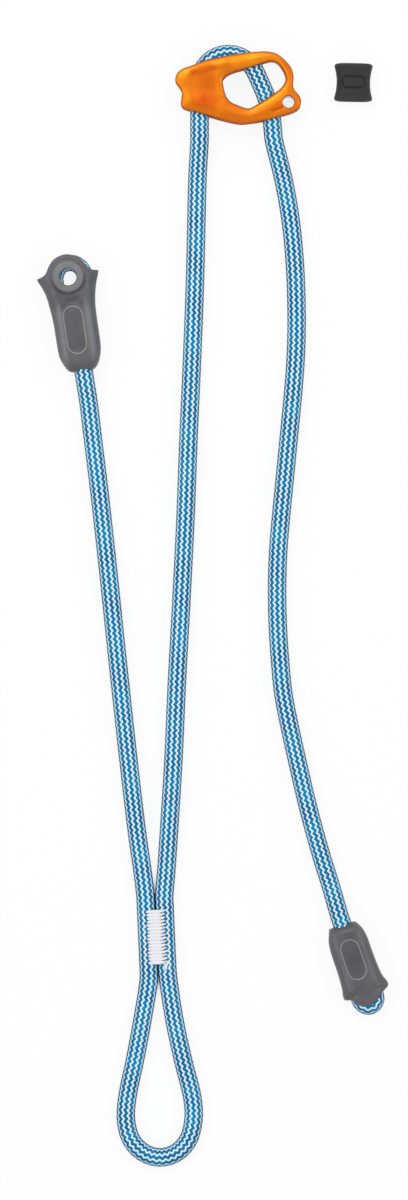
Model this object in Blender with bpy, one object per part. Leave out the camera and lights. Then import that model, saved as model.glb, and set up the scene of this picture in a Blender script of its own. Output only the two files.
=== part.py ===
"""Tree climbing lanyard, laid out flat on a floor and seen from above.

One braided rope makes the whole lanyard. It starts in a sewn eye under the left
sleeve, runs down as the fixed arm, turns back in the tie-in loop, runs up as the
adjustable arm, bends over between the two plates of the adjuster and ends as the
tail, whose small sewn eye under the right sleeve stops it from slipping out.

World frame: +X right, +Y up the page, +Z off the floor, and the floor at z = 0.
The origin is the middle of the floor area that the lanyard covers.
"""

import math

import bmesh
import bpy
from mathutils import Matrix, Vector

MM = 0.001
COLLECTION_NAME = "tree_climbing_lanyard"
CUTTERS_NAME = "cutters"

# Clearances
SEAT_GAP = 0.3 * MM
FLOOR_GAP = 0.1 * MM
CUT_OVERRUN = 2.0 * MM
WELD_DISTANCE = 0.001 * MM
ROUND_SHARP_ANGLE = math.radians(35.0)
FLAT_SHARP_ANGLE = math.radians(18.0)

# Rope, and the same rope where a stitching draws it in
ROPE_DIAMETER = 9.5 * MM
SEWN_SHARE = 0.947
SEWN_DIAMETER = ROPE_DIAMETER * SEWN_SHARE
STRAND_PITCH = SEWN_DIAMETER + SEAT_GAP
SQUARE_RUN = 5.0 * MM
MOUTH_RUN = 3.0 * MM
ROPE_BEVEL_STEPS = 3
BORE_BEVEL_STEPS = 4

# Sewing threads
THREAD_DIAMETER = 0.6 * MM
STITCH_PITCH = 1.7 * MM
STITCH_WIDTH = 8.6 * MM
TIE_IN_STITCH_LENGTH = 25.5 * MM
STITCH_END_MARGIN = 0.55 * MM
THREAD_BEVEL_STEPS = 1
THREAD_POCKET_MARGIN = 0.9 * MM

# Heights of the rope's middle above the floor
ROPE_REST_Z = ROPE_DIAMETER / 2 + FLOOR_GAP
STITCH_ROPE_Z = FLOOR_GAP + THREAD_DIAMETER + SEAT_GAP + SEWN_DIAMETER / 2

# Moulded sleeves: walls over, and beside, the two strands that they hold
SLEEVE_FACE_WALL = 2.05 * MM
SLEEVE_SIDE_WALL = 1.45 * MM
SLEEVE_THICKNESS = SEWN_DIAMETER + 2 * SEAT_GAP + 2 * SLEEVE_FACE_WALL
SLEEVE_HALF_WIDTH = (STRAND_PITCH + SEWN_DIAMETER) / 2 + SEAT_GAP + SLEEVE_SIDE_WALL
SLEEVE_FILLET = 3.2 * MM
SLEEVE_PLAQUE_DEPTH = 0.4 * MM

FIXED_SLEEVE_PLACE = (-72.35 * MM, 164.3 * MM)
FIXED_SLEEVE_TILT = math.radians(8.5)
FIXED_SLEEVE_LENGTH = 47.8 * MM
FIXED_DOME_REACH = 11.3 * MM
EYE_HOLE_RADIUS = 4.2 * MM
EYE_BOSS_WALL = 3.4 * MM
EYE_GROOVE_WIDTH = 0.9 * MM
EYE_GROOVE_DEPTH = 0.5 * MM
FIXED_PLAQUE_LENGTH = 25.0 * MM
FIXED_PLAQUE_WIDTH = 9.6 * MM
FIXED_PLAQUE_PLACE = (0.3 * MM, -25.6 * MM)

TAIL_SLEEVE_PLACE = (75.75 * MM, -194.5 * MM)
TAIL_SLEEVE_TILT = math.radians(18.6)
TAIL_SLEEVE_LENGTH = 36.8 * MM
TAIL_TONGUE_REACH = 6.3 * MM
TAIL_SLEEVE_MIDDLE = 0.7 * MM
TAIL_CROWN_DEPTH = 2.4 * MM
TAIL_PLAQUE_LENGTH = 19.0 * MM
TAIL_PLAQUE_WIDTH = 9.2 * MM
TAIL_PLAQUE_PLACE = (0.9 * MM, 17.5 * MM)

# Outlines of the sleeves, drawn by hand: x as a share of the half width, and y as a
# share of the reach past the eye for positive y, else of the sleeve's length.
FIXED_SLEEVE_SHARES = [
    (0.17, 1.0), (0.65, 0.77), (0.92, 0.40), (1.05, 0.26), (1.41, 0.18), (1.40, 0.03),
    (1.25, -0.09), (1.12, -0.21), (1.05, -0.33), (1.03, -0.47), (1.03, -0.61),
    (1.02, -0.73), (0.98, -0.81), (0.89, -0.88), (0.74, -0.95), (0.50, -0.994),
    (0.06, -1.0), (-0.42, -0.993), (-0.63, -0.97), (-0.81, -0.90), (-0.93, -0.83),
    (-0.97, -0.75), (-0.98, -0.62), (-0.99, -0.46), (-1.05, -0.30), (-1.15, -0.15),
    (-1.29, -0.04), (-1.37, 0.05), (-1.35, 0.18), (-0.94, 0.33), (-0.79, 0.51),
    (-0.54, 0.79), (-0.20, 0.98),
]
TAIL_SLEEVE_SHARES = [
    (-0.62, -1.0), (0.56, -0.995), (0.74, -0.93), (0.86, -0.84), (0.91, -0.73),
    (0.92, -0.57), (0.94, -0.40), (0.97, -0.26), (1.02, -0.17), (1.12, -0.09),
    (1.13, -0.04), (1.06, -0.01), (0.93, 0.07), (0.79, 0.22), (0.62, 0.46),
    (0.42, 0.73), (0.21, 0.89), (-0.04, 1.0), (-0.27, 0.86), (-0.46, 0.65),
    (-0.59, 0.37), (-0.67, 0.14), (-0.78, 0.03), (-1.00, -0.02), (-1.02, -0.08),
    (-0.97, -0.15), (-0.94, -0.25), (-0.92, -0.40), (-0.92, -0.56), (-0.91, -0.71),
    (-0.86, -0.83), (-0.78, -0.90), (-0.70, -0.96),
]
# The sleeves' rounded edge, from the side wall to the flat face: the inset as a share
# of the fillet, and the height as a share of half the thickness.
SLEEVE_EDGE_SHARES = [(0.0, 0.56), (0.10, 0.76), (0.40, 0.93), (1.0, 1.0)]
SLEEVE_SPINE_SHARE = 0.80
FIXED_EAR_SHARE = 0.22

# Routes of the rope inside the sleeves. The strands' x is a share of the strand
# pitch, and y is a share of the pitch near the eye and of the length below it.
FIXED_EYE_SHARES = [
    (0.71, -1.02), (0.97, -0.48), (1.04, 0.05), (0.89, 0.49), (0.49, 0.75), (0.04, 0.76),
    (-0.39, 0.59), (-0.67, 0.20), (-0.73, -0.27), (-0.60, -0.91),
]
FIXED_MOUTH_SHARE = 0.06
FIXED_NECK_SHARE = 0.31
FIXED_STRAND_END_SHARE = 0.76
TAIL_STRAND_END_SHARE = 0.74
TAIL_JOIN_SHARE = 0.64

# Adjuster: two plates with the rope's bend between them
ADJUSTER_PIVOT = (7.75 * MM, 261.25 * MM)
BEND_RADIUS = 14.5 * MM
BEND_LEG_LENGTH = 23.2 * MM
BEND_LEAVES_ARC_AT = math.radians(25.0)
BEND_ARC_STEPS = 9
PLATE_NOSE_MARGIN = 7.4 * MM
PLATE_EAR_MARGIN = 16.9 * MM
PLATE_WIDTH = PLATE_NOSE_MARGIN + 2 * BEND_RADIUS + ROPE_DIAMETER + PLATE_EAR_MARGIN
PLATE_HEIGHT = 36.1 * MM
PLATE_THICKNESS = 3.0 * MM
PLATE_EDGE = 0.9 * MM
PLATE_GAP = ROPE_DIAMETER + 2 * SEAT_GAP
PLATE_PANEL_DEPTH = 0.5 * MM
ROPE_IN_PLATES_Z = PLATE_THICKNESS + PLATE_GAP / 2
WINDOW_WIDTH = 31.2 * MM
WINDOW_HEIGHT = 23.6 * MM
EAR_HOLE_RADIUS = 3.0 * MM
EAR_BUSH_WALL = 0.75 * MM

# The leg towards the tail, from where it leaves the arc: x as a share of the bend's
# radius, and y as a share of the fall to the leg's end.
BEND_OUT_SHARES = [(0.19, 0.20), (0.36, 0.40), (0.48, 0.60), (0.58, 0.81), (0.62, 1.0)]

# The plates' outline, their panel and the places of their openings as shares of the
# plate's width and height from the pivot, and the window's outline as shares of the
# window's own width and height.
PLATE_SHARES = [
    (-0.424, 0.028), (-0.412, 0.116), (-0.371, 0.187), (-0.302, 0.230), (-0.180, 0.307),
    (-0.058, 0.356), (0.104, 0.406), (0.267, 0.431), (0.332, 0.424), (0.389, 0.392),
    (0.454, 0.301), (0.499, 0.201), (0.516, 0.089), (0.514, -0.053), (0.527, -0.109),
    (0.560, -0.173), (0.576, -0.251), (0.567, -0.337), (0.527, -0.399), (0.429, -0.456),
    (0.308, -0.519), (0.186, -0.555), (0.096, -0.569), (0.023, -0.548), (-0.091, -0.499),
    (-0.221, -0.428), (-0.351, -0.361), (-0.375, -0.321), (-0.379, -0.266),
    (-0.371, -0.152), (-0.379, -0.096), (-0.403, -0.039),
]
WINDOW_SHARES = [
    (-0.500, 0.094), (-0.492, -0.035), (-0.452, -0.229), (-0.378, -0.360),
    (-0.263, -0.434), (-0.118, -0.500), (-0.052, -0.489), (0.063, -0.403),
    (0.226, -0.274), (0.340, -0.166), (0.438, -0.058), (0.500, 0.094), (0.490, 0.223),
    (0.438, 0.352), (0.372, 0.460), (0.290, 0.500), (0.193, 0.481), (0.063, 0.418),
    (-0.150, 0.331), (-0.329, 0.265), (-0.428, 0.202), (-0.476, 0.147),
]
PANEL_SHARES = [
    (-0.311, -0.042), (-0.295, 0.125), (-0.231, 0.204), (-0.143, 0.232), (-0.097, 0.166),
    (-0.094, 0.0), (-0.080, -0.152), (-0.058, -0.272), (-0.089, -0.344),
    (-0.175, -0.318), (-0.263, -0.262), (-0.303, -0.168),
]
WINDOW_PLACE_SHARES = (0.204, -0.030)
EAR_HOLE_PLACE_SHARES = (0.476, -0.269)

# Pins between the plates. The friction bar stands inside the rope's bend and the nose
# spacer outside it, each clear of the rope's leg by its own clearance.
FRICTION_BAR_RADIUS = 2.75 * MM
FRICTION_BAR_CLEARANCE = 0.75 * MM
FRICTION_BAR_X = ROPE_DIAMETER / 2 + FRICTION_BAR_CLEARANCE + FRICTION_BAR_RADIUS - BEND_RADIUS
FRICTION_BAR_DROP = 1.25 * MM
NOSE_SPACER_RADIUS = 2.0 * MM
NOSE_SPACER_CLEARANCE = 2.05 * MM
NOSE_SPACER_X = -BEND_RADIUS - ROPE_DIAMETER / 2 - NOSE_SPACER_CLEARANCE - NOSE_SPACER_RADIUS
NOSE_SPACER_DROP = 0.3 * MM
GUIDE_SPACER_RADIUS = 2.4 * MM
GUIDE_SPACER_PLACE_SHARES = (0.052, -0.440)
RIVET_RADIUS = 0.9 * MM
RIVET_HEAD_RADIUS = 1.9 * MM
RIVET_HEAD_DEPTH = 1.0 * MM
RIVET_BITE_SHARE = 0.53
RIVET_SUNK = 0.1 * MM
ROUND_STEPS = 24
SMALL_ROUND_STEPS = 16

# Loose rubber retainer that keeps a connector in place on the eye
RETAINER_PLACE = (70.2 * MM, 261.8 * MM)
RETAINER_TILT = math.radians(-1.0)
RETAINER_LENGTH = 19.0 * MM
RETAINER_WIDTH = 19.0 * MM
RETAINER_WAIST_SHARE = 0.83
RETAINER_THICKNESS = 9.0 * MM
RETAINER_WALL = 1.8 * MM
RETAINER_SECTIONS = 11
RETAINER_CORNER_STEPS = 8
RETAINER_PLAQUE_LENGTH = 11.6 * MM
RETAINER_PLAQUE_WIDTH = 5.6 * MM
RETAINER_PLAQUE_DEPTH = 0.4 * MM

# Tie-in: where the two arms are sewn together above the loop
TIE_IN_PLACE = (-28.2 * MM, -165.4 * MM)
TIE_IN_TILT = math.radians(2.5)
TIE_IN_LEG_MARGIN = 1.6 * MM

# Hand-chosen route of the loop in the stitching's frame, in millimetres
TIE_IN_LOOP_ROUTE = [
    (-5.6, -23.0), (-8.9, -41.3), (-13.5, -61.1), (-18.0, -79.0), (-19.3, -90.8),
    (-17.0, -101.0), (-11.0, -107.7), (-3.1, -110.3), (5.0, -108.4), (11.3, -102.2),
    (14.4, -92.3), (14.3, -81.0), (10.5, -62.1), (7.1, -42.0), (5.6, -23.0),
]
# Hand-chosen routes of the free stretches on the floor, in millimetres
FIXED_ARM_ROUTE = [
    (-62.0, 100.0), (-60.0, 83.0), (-57.5, 63.0), (-53.0, 23.0), (-48.8, -17.0),
    (-44.5, -57.0), (-40.0, -97.0), (-37.5, -117.0), (-35.2, -133.0),
]
ADJUSTABLE_ARM_ROUTE = [
    (-7.8, 213.0), (-9.0, 163.0), (-10.5, 123.0), (-12.3, 83.0), (-13.8, 43.0),
    (-15.8, 3.0), (-18.0, -37.0), (-19.8, -77.0), (-22.3, -117.0), (-23.4, -133.0),
]
TAIL_ROUTE = [
    (35.3, 213.0), (38.8, 193.0), (40.8, 173.0), (41.7, 153.0), (41.7, 133.0),
    (40.6, 113.0), (36.8, 73.0), (33.0, 33.0), (32.1, 13.0), (32.3, -7.0),
    (33.5, -27.0), (35.7, -47.0), (44.3, -87.0), (49.2, -107.0), (54.8, -127.0),
    (58.3, -138.0),
]
ROPE_STEP = 20.0 * MM
BEND_STEP = 3.6 * MM

# Colours, roughness and metallic values of the materials
MATERIALS = {
    "rope_sheath": ((0.16, 0.42, 0.62), 0.85, 0.0),
    "sewing_thread": ((0.86, 0.86, 0.84), 0.80, 0.0),
    "sleeve_rubber": ((0.13, 0.13, 0.135), 0.60, 0.0),
    "retainer_rubber": ((0.045, 0.045, 0.048), 0.65, 0.0),
    "orange_anodised": ((0.78, 0.17, 0.02), 0.35, 0.9),
    "steel": ((0.60, 0.60, 0.60), 0.30, 1.0),
}


def clear_scene():
    """Removes whatever the file holds, and makes the two collections."""
    for old in list(bpy.data.objects):
        bpy.data.objects.remove(old, do_unlink=True)
    made = []
    for name in (COLLECTION_NAME, CUTTERS_NAME):
        collection = bpy.data.collections.new(name)
        bpy.context.scene.collection.children.link(collection)
        made.append(collection)
    return made


def make_materials():
    made = {}
    for name, (colour, roughness, metallic) in MATERIALS.items():
        material = bpy.data.materials.new(name)
        material.use_nodes = True
        shader = material.node_tree.nodes["Principled BSDF"]
        shader.inputs["Base Color"].default_value = (*colour, 1.0)
        shader.inputs["Roughness"].default_value = roughness
        shader.inputs["Metallic"].default_value = metallic
        material.diffuse_color = (*colour, 1.0)
        made[name] = material
    return made


PARTS, CUTTERS = clear_scene()
SURFACES = make_materials()


def add_frame(name, place, tilt):
    """An empty that carries the pieces of one assembly, turned by tilt about +Z."""
    empty = bpy.data.objects.new(name, None)
    PARTS.objects.link(empty)
    empty.location = (*place, 0.0)
    empty.rotation_euler = (0.0, 0.0, tilt)
    return empty


def frame_matrix(place, tilt):
    return Matrix.Translation((*place, 0.0)) @ Matrix.Rotation(tilt, 4, "Z")


def add_object(name, data, surface, frame=None, place=(0.0, 0.0, 0.0)):
    made = bpy.data.objects.new(name, data)
    PARTS.objects.link(made)
    made.location = place
    made.parent = frame
    data.materials.append(SURFACES[surface])
    return made


def smooth_points(points, step, cyclic=False):
    """Points about step apart on the smooth curve through the given points.

    Each span is a cubic whose end slopes are the slopes of the chord between the
    two neighbours, so the curve has no corner and no overshoot on uneven spans.
    """
    points = [Vector(point) for point in points]
    count = len(points)

    def slope(i):
        before = points[(i - 1) % count] if cyclic else points[max(i - 1, 0)]
        after = points[(i + 1) % count] if cyclic else points[min(i + 1, count - 1)]
        here = points[i]
        return (after - before) / ((after - here).length + (here - before).length)

    found = []
    for i in range(count if cyclic else count - 1):
        start, end = points[i], points[(i + 1) % count]
        span = (end - start).length
        cuts = max(1, round(span / step))
        for k in range(cuts):
            t = k / cuts
            rise = t * t * (3 - 2 * t)
            found.append(
                start * (1 - rise)
                + end * rise
                + slope(i) * (span * t * (1 - t) * (1 - t))
                - slope((i + 1) % count) * (span * t * t * (1 - t))
            )
    if not cyclic:
        found.append(points[-1])
    return found


def tube_curve(name, points, diameter, bevel_steps, shares=None):
    """A filled tube along points, thinner or fuller by the share at each point."""
    curve = bpy.data.curves.new(name, "CURVE")
    curve.dimensions = "3D"
    curve.bevel_depth = diameter / 2
    curve.bevel_resolution = bevel_steps
    curve.use_fill_caps = True
    spline = curve.splines.new("POLY")
    spline.points.add(len(points) - 1)
    for i, point in enumerate(points):
        spline.points[i].co = (*point, 1.0)
        spline.points[i].radius = shares[i] if shares else 1.0
        spline.points[i].tilt = 0.0
    return curve


def mesh_from(source):
    """The evaluated mesh of a curve object, with its loose caps welded on."""
    bpy.context.view_layer.update()
    graph = bpy.context.evaluated_depsgraph_get()
    mesh = bpy.data.meshes.new_from_object(source.evaluated_get(graph))
    work = bmesh.new()
    work.from_mesh(mesh)
    bmesh.ops.remove_doubles(work, verts=work.verts, dist=WELD_DISTANCE)
    bmesh.ops.recalc_face_normals(work, faces=work.faces)
    work.to_mesh(mesh)
    work.free()
    return mesh


def become_mesh(source):
    """Replaces a curve object by a mesh object of the same name and place."""
    name, frame = source.name, source.parent
    place, turn = source.location.copy(), source.rotation_euler.copy()
    mesh = mesh_from(source)
    collection = source.users_collection[0]
    bpy.data.objects.remove(source, do_unlink=True)
    made = bpy.data.objects.new(name, mesh)
    collection.objects.link(made)
    made.parent = frame
    made.location, made.rotation_euler = place, turn
    return made


def shade_round(obj, sharp_angle=ROUND_SHARP_ANGLE):
    obj.data.shade_smooth()
    obj.data.set_sharp_from_angle(angle=sharp_angle)


def add_cutter(name, data, frame=None, place=(0.0, 0.0, 0.0)):
    cutter = bpy.data.objects.new(name, data)
    CUTTERS.objects.link(cutter)
    cutter.location = place
    cutter.parent = frame
    cutter.hide_render = True
    cutter.display_type = "WIRE"
    return cutter


def cut(target, cutter, crosses_itself=False):
    modifier = target.modifiers.new(cutter.name, "BOOLEAN")
    modifier.operation = "DIFFERENCE"
    modifier.solver = "EXACT"
    modifier.use_self = crosses_itself
    modifier.object = cutter


def cylinder_mesh(name, radius, depth, steps, top_radius=None):
    """A closed cylinder or cone about +Z whose base stands at z = 0."""
    mesh = bpy.data.meshes.new(name)
    work = bmesh.new()
    bmesh.ops.create_cone(
        work,
        cap_ends=True,
        segments=steps,
        radius1=radius,
        radius2=radius if top_radius is None else top_radius,
        depth=depth,
        matrix=Matrix.Translation((0.0, 0.0, depth / 2)),
    )
    work.to_mesh(mesh)
    work.free()
    return mesh


def box_mesh(name, size):
    """A box about its own middle."""
    mesh = bpy.data.meshes.new(name)
    work = bmesh.new()
    bmesh.ops.create_cube(work, size=1)
    bmesh.ops.scale(work, vec=size, verts=work.verts)
    work.to_mesh(mesh)
    work.free()
    return mesh


def outline_curve(name, loops, thickness, edge):
    """A filled flat outline about z = 0, with its holes, its edges rounded by edge."""
    curve = bpy.data.curves.new(name, "CURVE")
    curve.dimensions = "2D"
    curve.fill_mode = "BOTH"
    curve.extrude = thickness / 2 - edge
    curve.bevel_depth = edge
    curve.bevel_resolution = 1
    curve.offset = -edge
    for loop in loops:
        spline = curve.splines.new("POLY")
        spline.points.add(len(loop) - 1)
        for i, point in enumerate(loop):
            spline.points[i].co = (point[0], point[1], 0.0, 1.0)
        spline.use_cyclic_u = True
    return curve


def scaled(shares, width, height, place=(0.0, 0.0)):
    """Points from shares of a width and a height, moved to place."""
    return [(x * width + place[0], y * height + place[1], 0.0) for x, y in shares]


def circle(radius, steps, place=(0.0, 0.0)):
    points = []
    for k in range(steps):
        angle = 2 * math.pi * k / steps
        x = place[0] + radius * math.cos(angle)
        points.append((x, place[1] + radius * math.sin(angle), 0.0))
    return points


def stadium(length, width, steps, place=(0.0, 0.0)):
    """A loop with two straight sides along Y and two round ends."""
    radius, half = width / 2, (length - width) / 2
    points = []
    for side in (1, -1):
        for k in range(steps + 1):
            angle = math.pi * k / steps + (0.0 if side > 0 else math.pi)
            x = place[0] + radius * math.cos(angle)
            y = place[1] + side * half + radius * math.sin(angle)
            points.append((x, y, 0.0))
    return points


def loft(name, rings):
    """One closed surface through rings of as many points, capped at both ends."""
    work = bmesh.new()
    rows = [[work.verts.new(point) for point in ring] for ring in rings]
    count = len(rows[0])
    for low, high in zip(rows, rows[1:]):
        for i in range(count):
            j = (i + 1) % count
            work.faces.new((low[i], low[j], high[j], high[i]))
    work.faces.new(list(reversed(rows[0])))
    work.faces.new(rows[-1])
    bmesh.ops.recalc_face_normals(work, faces=work.faces)
    mesh = bpy.data.meshes.new(name)
    work.to_mesh(mesh)
    work.free()
    return mesh


def ramped(points, shares_at_ends, run):
    """The radius share at each point: the end's share, easing to full over run."""
    lengths = [0.0]
    for a, b in zip(points, points[1:]):
        lengths.append(lengths[-1] + (b - a).length)
    first, last = shares_at_ends
    found = []
    for length in lengths:
        from_start = min(length / run, 1.0)
        from_end = min((lengths[-1] - length) / run, 1.0)
        share = first + (1.0 - first) * from_start
        found.append(min(share, last + (1.0 - last) * from_end))
    return found


def rope_end(matrix, tip, inner):
    """Where a free stretch meets a piece that ends at tip, seen from a point inner in it.

    Gives the stretch's first point, and the point that it reaches by a straight run.
    """
    direction = (tip - inner).normalized()
    start = tip + direction * SEAT_GAP
    return matrix @ start, matrix @ (start + direction * SQUARE_RUN)


def laid_route(route):
    """A hand-chosen route on the floor, as points at the rope's resting height."""
    return [Vector((x * MM, y * MM, ROPE_REST_Z)) for x, y in route]


def free_rope(name, start, route, end, ends_shares=(1.0, 1.0)):
    """A free stretch from one square end to the other along a laid route."""
    points = [start[0], start[1], *laid_route(route), end[1], end[0]]
    line = smooth_points(points, ROPE_STEP)
    for point in line:
        point.z = max(point.z, ROPE_REST_Z)
    shares = ramped(line, ends_shares, 2 * ROPE_DIAMETER)
    curve = tube_curve(name, line, ROPE_DIAMETER, ROPE_BEVEL_STEPS, shares)
    return add_object(name, curve, "rope_sheath")


def stitch_thread(name, frame, place, length, z):
    """One thread of a bar tack, as a zigzag across both strands about place."""
    passes = int(length / STITCH_PITCH)
    points = []
    for i in range(passes + 1):
        y = place[1] - length / 2 + i * STITCH_PITCH
        side = 1 if i % 2 else -1
        points.append(Vector((place[0] + side * STITCH_WIDTH / 2, y, z)))
    curve = tube_curve(name, points, THREAD_DIAMETER, THREAD_BEVEL_STEPS)
    return add_object(name, curve, "sewing_thread", frame)


def thread_pair(prefix, frame, place, length, rope_z):
    """The needle thread over the two strands and the bobbin thread under them."""
    reach = SEWN_DIAMETER / 2 + SEAT_GAP + THREAD_DIAMETER / 2
    stitch_thread(prefix + "_needle_thread", frame, place, length, rope_z + reach)
    stitch_thread(prefix + "_bobbin_thread", frame, place, length, rope_z - reach)


def sleeve_body(name, outline, spine_end, frame):
    """A moulded sleeve: its outline lofted up a rounded edge to a flat face.

    Each ring of the rounded edge is the outline drawn in towards the nearest point
    of a straight spine, from the eye to spine_end.
    """
    low, high = min(spine_end, 0.0), max(spine_end, 0.0)
    profile = [(inset, -height) for inset, height in reversed(SLEEVE_EDGE_SHARES)]
    profile += SLEEVE_EDGE_SHARES
    rings = []
    for inset_share, height_share in profile:
        ring = []
        for point in outline:
            near = Vector((0.0, min(max(point.y, low), high), 0.0))
            inward = (near - point).normalized() * SLEEVE_FILLET * inset_share
            height = SLEEVE_THICKNESS / 2 * (1 + height_share)
            ring.append(point + inward + Vector((0.0, 0.0, height)))
        rings.append(ring)
    sleeve = add_object(name, loft(name, rings), "sleeve_rubber", frame)
    shade_round(sleeve, FLAT_SHARP_ANGLE)
    return sleeve


def sleeve_outline(shares, reach_up, reach_down, middle):
    points = []
    for x, y in shares:
        reach = reach_up if y > 0 else reach_down
        points.append((middle + x * SLEEVE_HALF_WIDTH, y * reach, 0.0))
    return smooth_points(points, SLEEVE_FILLET, cyclic=True)


def cut_rope_bore(sleeve, name, points, frame):
    """Cuts the rope's own route out of a sleeve, wider by the seat gap."""
    diameter = SEWN_DIAMETER + 2 * SEAT_GAP
    curve = tube_curve(name, points, diameter, BORE_BEVEL_STEPS)
    source = bpy.data.objects.new(name, curve)
    CUTTERS.objects.link(source)
    mesh = mesh_from(source)
    bpy.data.objects.remove(source, do_unlink=True)
    cut(sleeve, add_cutter(name, mesh, frame), crosses_itself=True)


def cut_thread_pocket(sleeve, name, place, length, frame):
    """Cuts the room that the threads take over and under the strands, and between them."""
    size = (
        STITCH_WIDTH + 2 * THREAD_POCKET_MARGIN,
        length + 2 * THREAD_POCKET_MARGIN,
        SEWN_DIAMETER + 4 * SEAT_GAP + 2 * THREAD_DIAMETER,
    )
    middle = (place[0], place[1], SLEEVE_THICKNESS / 2)
    cut(sleeve, add_cutter(name, box_mesh(name, size), frame, middle))


def cut_tongue_slot(sleeve, name, start, reach, frame):
    """Parts the two tongues past the ears, so that the eye's rope shows between them."""
    size = (4 * SLEEVE_HALF_WIDTH, reach - start, SEWN_DIAMETER + SEAT_GAP)
    middle = (0.0, (start + reach) / 2, SLEEVE_THICKNESS / 2)
    cut(sleeve, add_cutter(name, box_mesh(name, size), frame, middle))


def cut_flat(target, name, loops, z, depth, frame):
    """Sinks flat outlines depth deep into a face at height z."""
    curve = outline_curve(name, loops, depth + CUT_OVERRUN, 0.0)
    source = bpy.data.objects.new(name, curve)
    CUTTERS.objects.link(source)
    mesh = mesh_from(source)
    bpy.data.objects.remove(source, do_unlink=True)
    middle = z + (CUT_OVERRUN - depth) / 2
    cut(target, add_cutter(name, mesh, frame, (0.0, 0.0, middle)))


def cut_plaque(sleeve, name, length, width, place, frame):
    """Sinks the long shallow plaque into a sleeve's face."""
    loop = stadium(length, width, SMALL_ROUND_STEPS // 2, place)
    cut_flat(sleeve, name, [loop], SLEEVE_THICKNESS, SLEEVE_PLAQUE_DEPTH, frame)


def cut_eye(sleeve, frame):
    """Cuts the hole for a connector, and the groove round the hole's boss."""
    depth = SLEEVE_THICKNESS + 2 * CUT_OVERRUN
    hole = cylinder_mesh("eye_hole", EYE_HOLE_RADIUS, depth, ROUND_STEPS)
    cut(sleeve, add_cutter("eye_hole_cutter", hole, frame, (0.0, 0.0, -CUT_OVERRUN)))
    boss_radius = EYE_HOLE_RADIUS + EYE_BOSS_WALL
    rings = [
        circle(boss_radius + EYE_GROOVE_WIDTH, ROUND_STEPS),
        circle(boss_radius, ROUND_STEPS),
    ]
    cut_flat(
        sleeve, "eye_groove_cutter", rings, SLEEVE_THICKNESS, EYE_GROOVE_DEPTH, frame
    )


def bore_points(line):
    """A rope's route lengthened past the sleeve's mouth and past the rope's hidden end."""
    mouth = (line[0] - line[1]).normalized() * CUT_OVERRUN
    rest = (line[-1] - line[-2]).normalized() * SEAT_GAP
    return [line[0] + mouth, *line[1:], line[-1] + rest]


def fixed_eye_points():
    """The rope's route from the sleeve's mouth, round the eye and back, at rope height."""
    z = SLEEVE_THICKNESS / 2
    length = FIXED_SLEEVE_LENGTH
    middle = FIXED_MOUTH_SHARE * SLEEVE_HALF_WIDTH
    half = STRAND_PITCH / 2
    end_y = -length * FIXED_STRAND_END_SHARE
    neck_y = -length * FIXED_NECK_SHARE
    points = [
        (middle, -length, z),
        (middle, -length + MOUTH_RUN, z),
        (half, end_y, z),
        (half, neck_y, z),
    ]
    points += [(x * STRAND_PITCH, y * STRAND_PITCH, z) for x, y in FIXED_EYE_SHARES]
    points += [(-half, neck_y, z), (-half, end_y, z)]
    return smooth_points(points, BEND_STEP)


def make_fixed_end(frame):
    line = fixed_eye_points()
    curve = tube_curve("fixed_end_eye_rope", line, SEWN_DIAMETER, ROPE_BEVEL_STEPS)
    add_object("fixed_end_eye_rope", curve, "rope_sheath", frame)
    outline = sleeve_outline(
        FIXED_SLEEVE_SHARES, FIXED_DOME_REACH, FIXED_SLEEVE_LENGTH, 0.0
    )
    spine_end = -FIXED_SLEEVE_LENGTH * SLEEVE_SPINE_SHARE
    sleeve = sleeve_body("fixed_end_sleeve", outline, spine_end, frame)
    cut_rope_bore(sleeve, "fixed_bore_cutter", bore_points(line), frame)
    stitch_y = -FIXED_SLEEVE_LENGTH * (FIXED_NECK_SHARE + FIXED_STRAND_END_SHARE) / 2
    stitch = (0.0, stitch_y)
    strand_run = FIXED_SLEEVE_LENGTH * (FIXED_STRAND_END_SHARE - FIXED_NECK_SHARE)
    cut_thread_pocket(sleeve, "fixed_pocket_cutter", stitch, strand_run, frame)
    slot_start = FIXED_DOME_REACH * FIXED_EAR_SHARE
    slot_end = FIXED_DOME_REACH + CUT_OVERRUN
    cut_tongue_slot(sleeve, "tongue_slot_cutter", slot_start, slot_end, frame)
    cut_eye(sleeve, frame)
    cut_plaque(
        sleeve,
        "fixed_plaque_cutter",
        FIXED_PLAQUE_LENGTH,
        FIXED_PLAQUE_WIDTH,
        FIXED_PLAQUE_PLACE,
        frame,
    )
    stitch_length = strand_run - 2 * STITCH_END_MARGIN
    thread_pair("fixed_end", frame, stitch, stitch_length, SLEEVE_THICKNESS / 2)


def tail_eye_points():
    """The rope's route from the sleeve's mouth, round the tight crown and back."""
    z = SLEEVE_THICKNESS / 2
    length = TAIL_SLEEVE_LENGTH
    half = STRAND_PITCH / 2
    middle = TAIL_SLEEVE_MIDDLE
    points = [
        (middle, length, z),
        (middle, length - MOUTH_RUN, z),
        (middle + half, length * TAIL_JOIN_SHARE, z),
        (middle + half, -TAIL_CROWN_DEPTH, z),
    ]
    for k in range(1, SMALL_ROUND_STEPS // 2):
        angle = math.pi * k / (SMALL_ROUND_STEPS // 2)
        x = middle + half * math.cos(angle)
        points.append((x, -TAIL_CROWN_DEPTH - half * math.sin(angle), z))
    points.append((middle - half, -TAIL_CROWN_DEPTH, z))
    points.append((middle - half, length * TAIL_STRAND_END_SHARE, z))
    return smooth_points(points, BEND_STEP)


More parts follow.
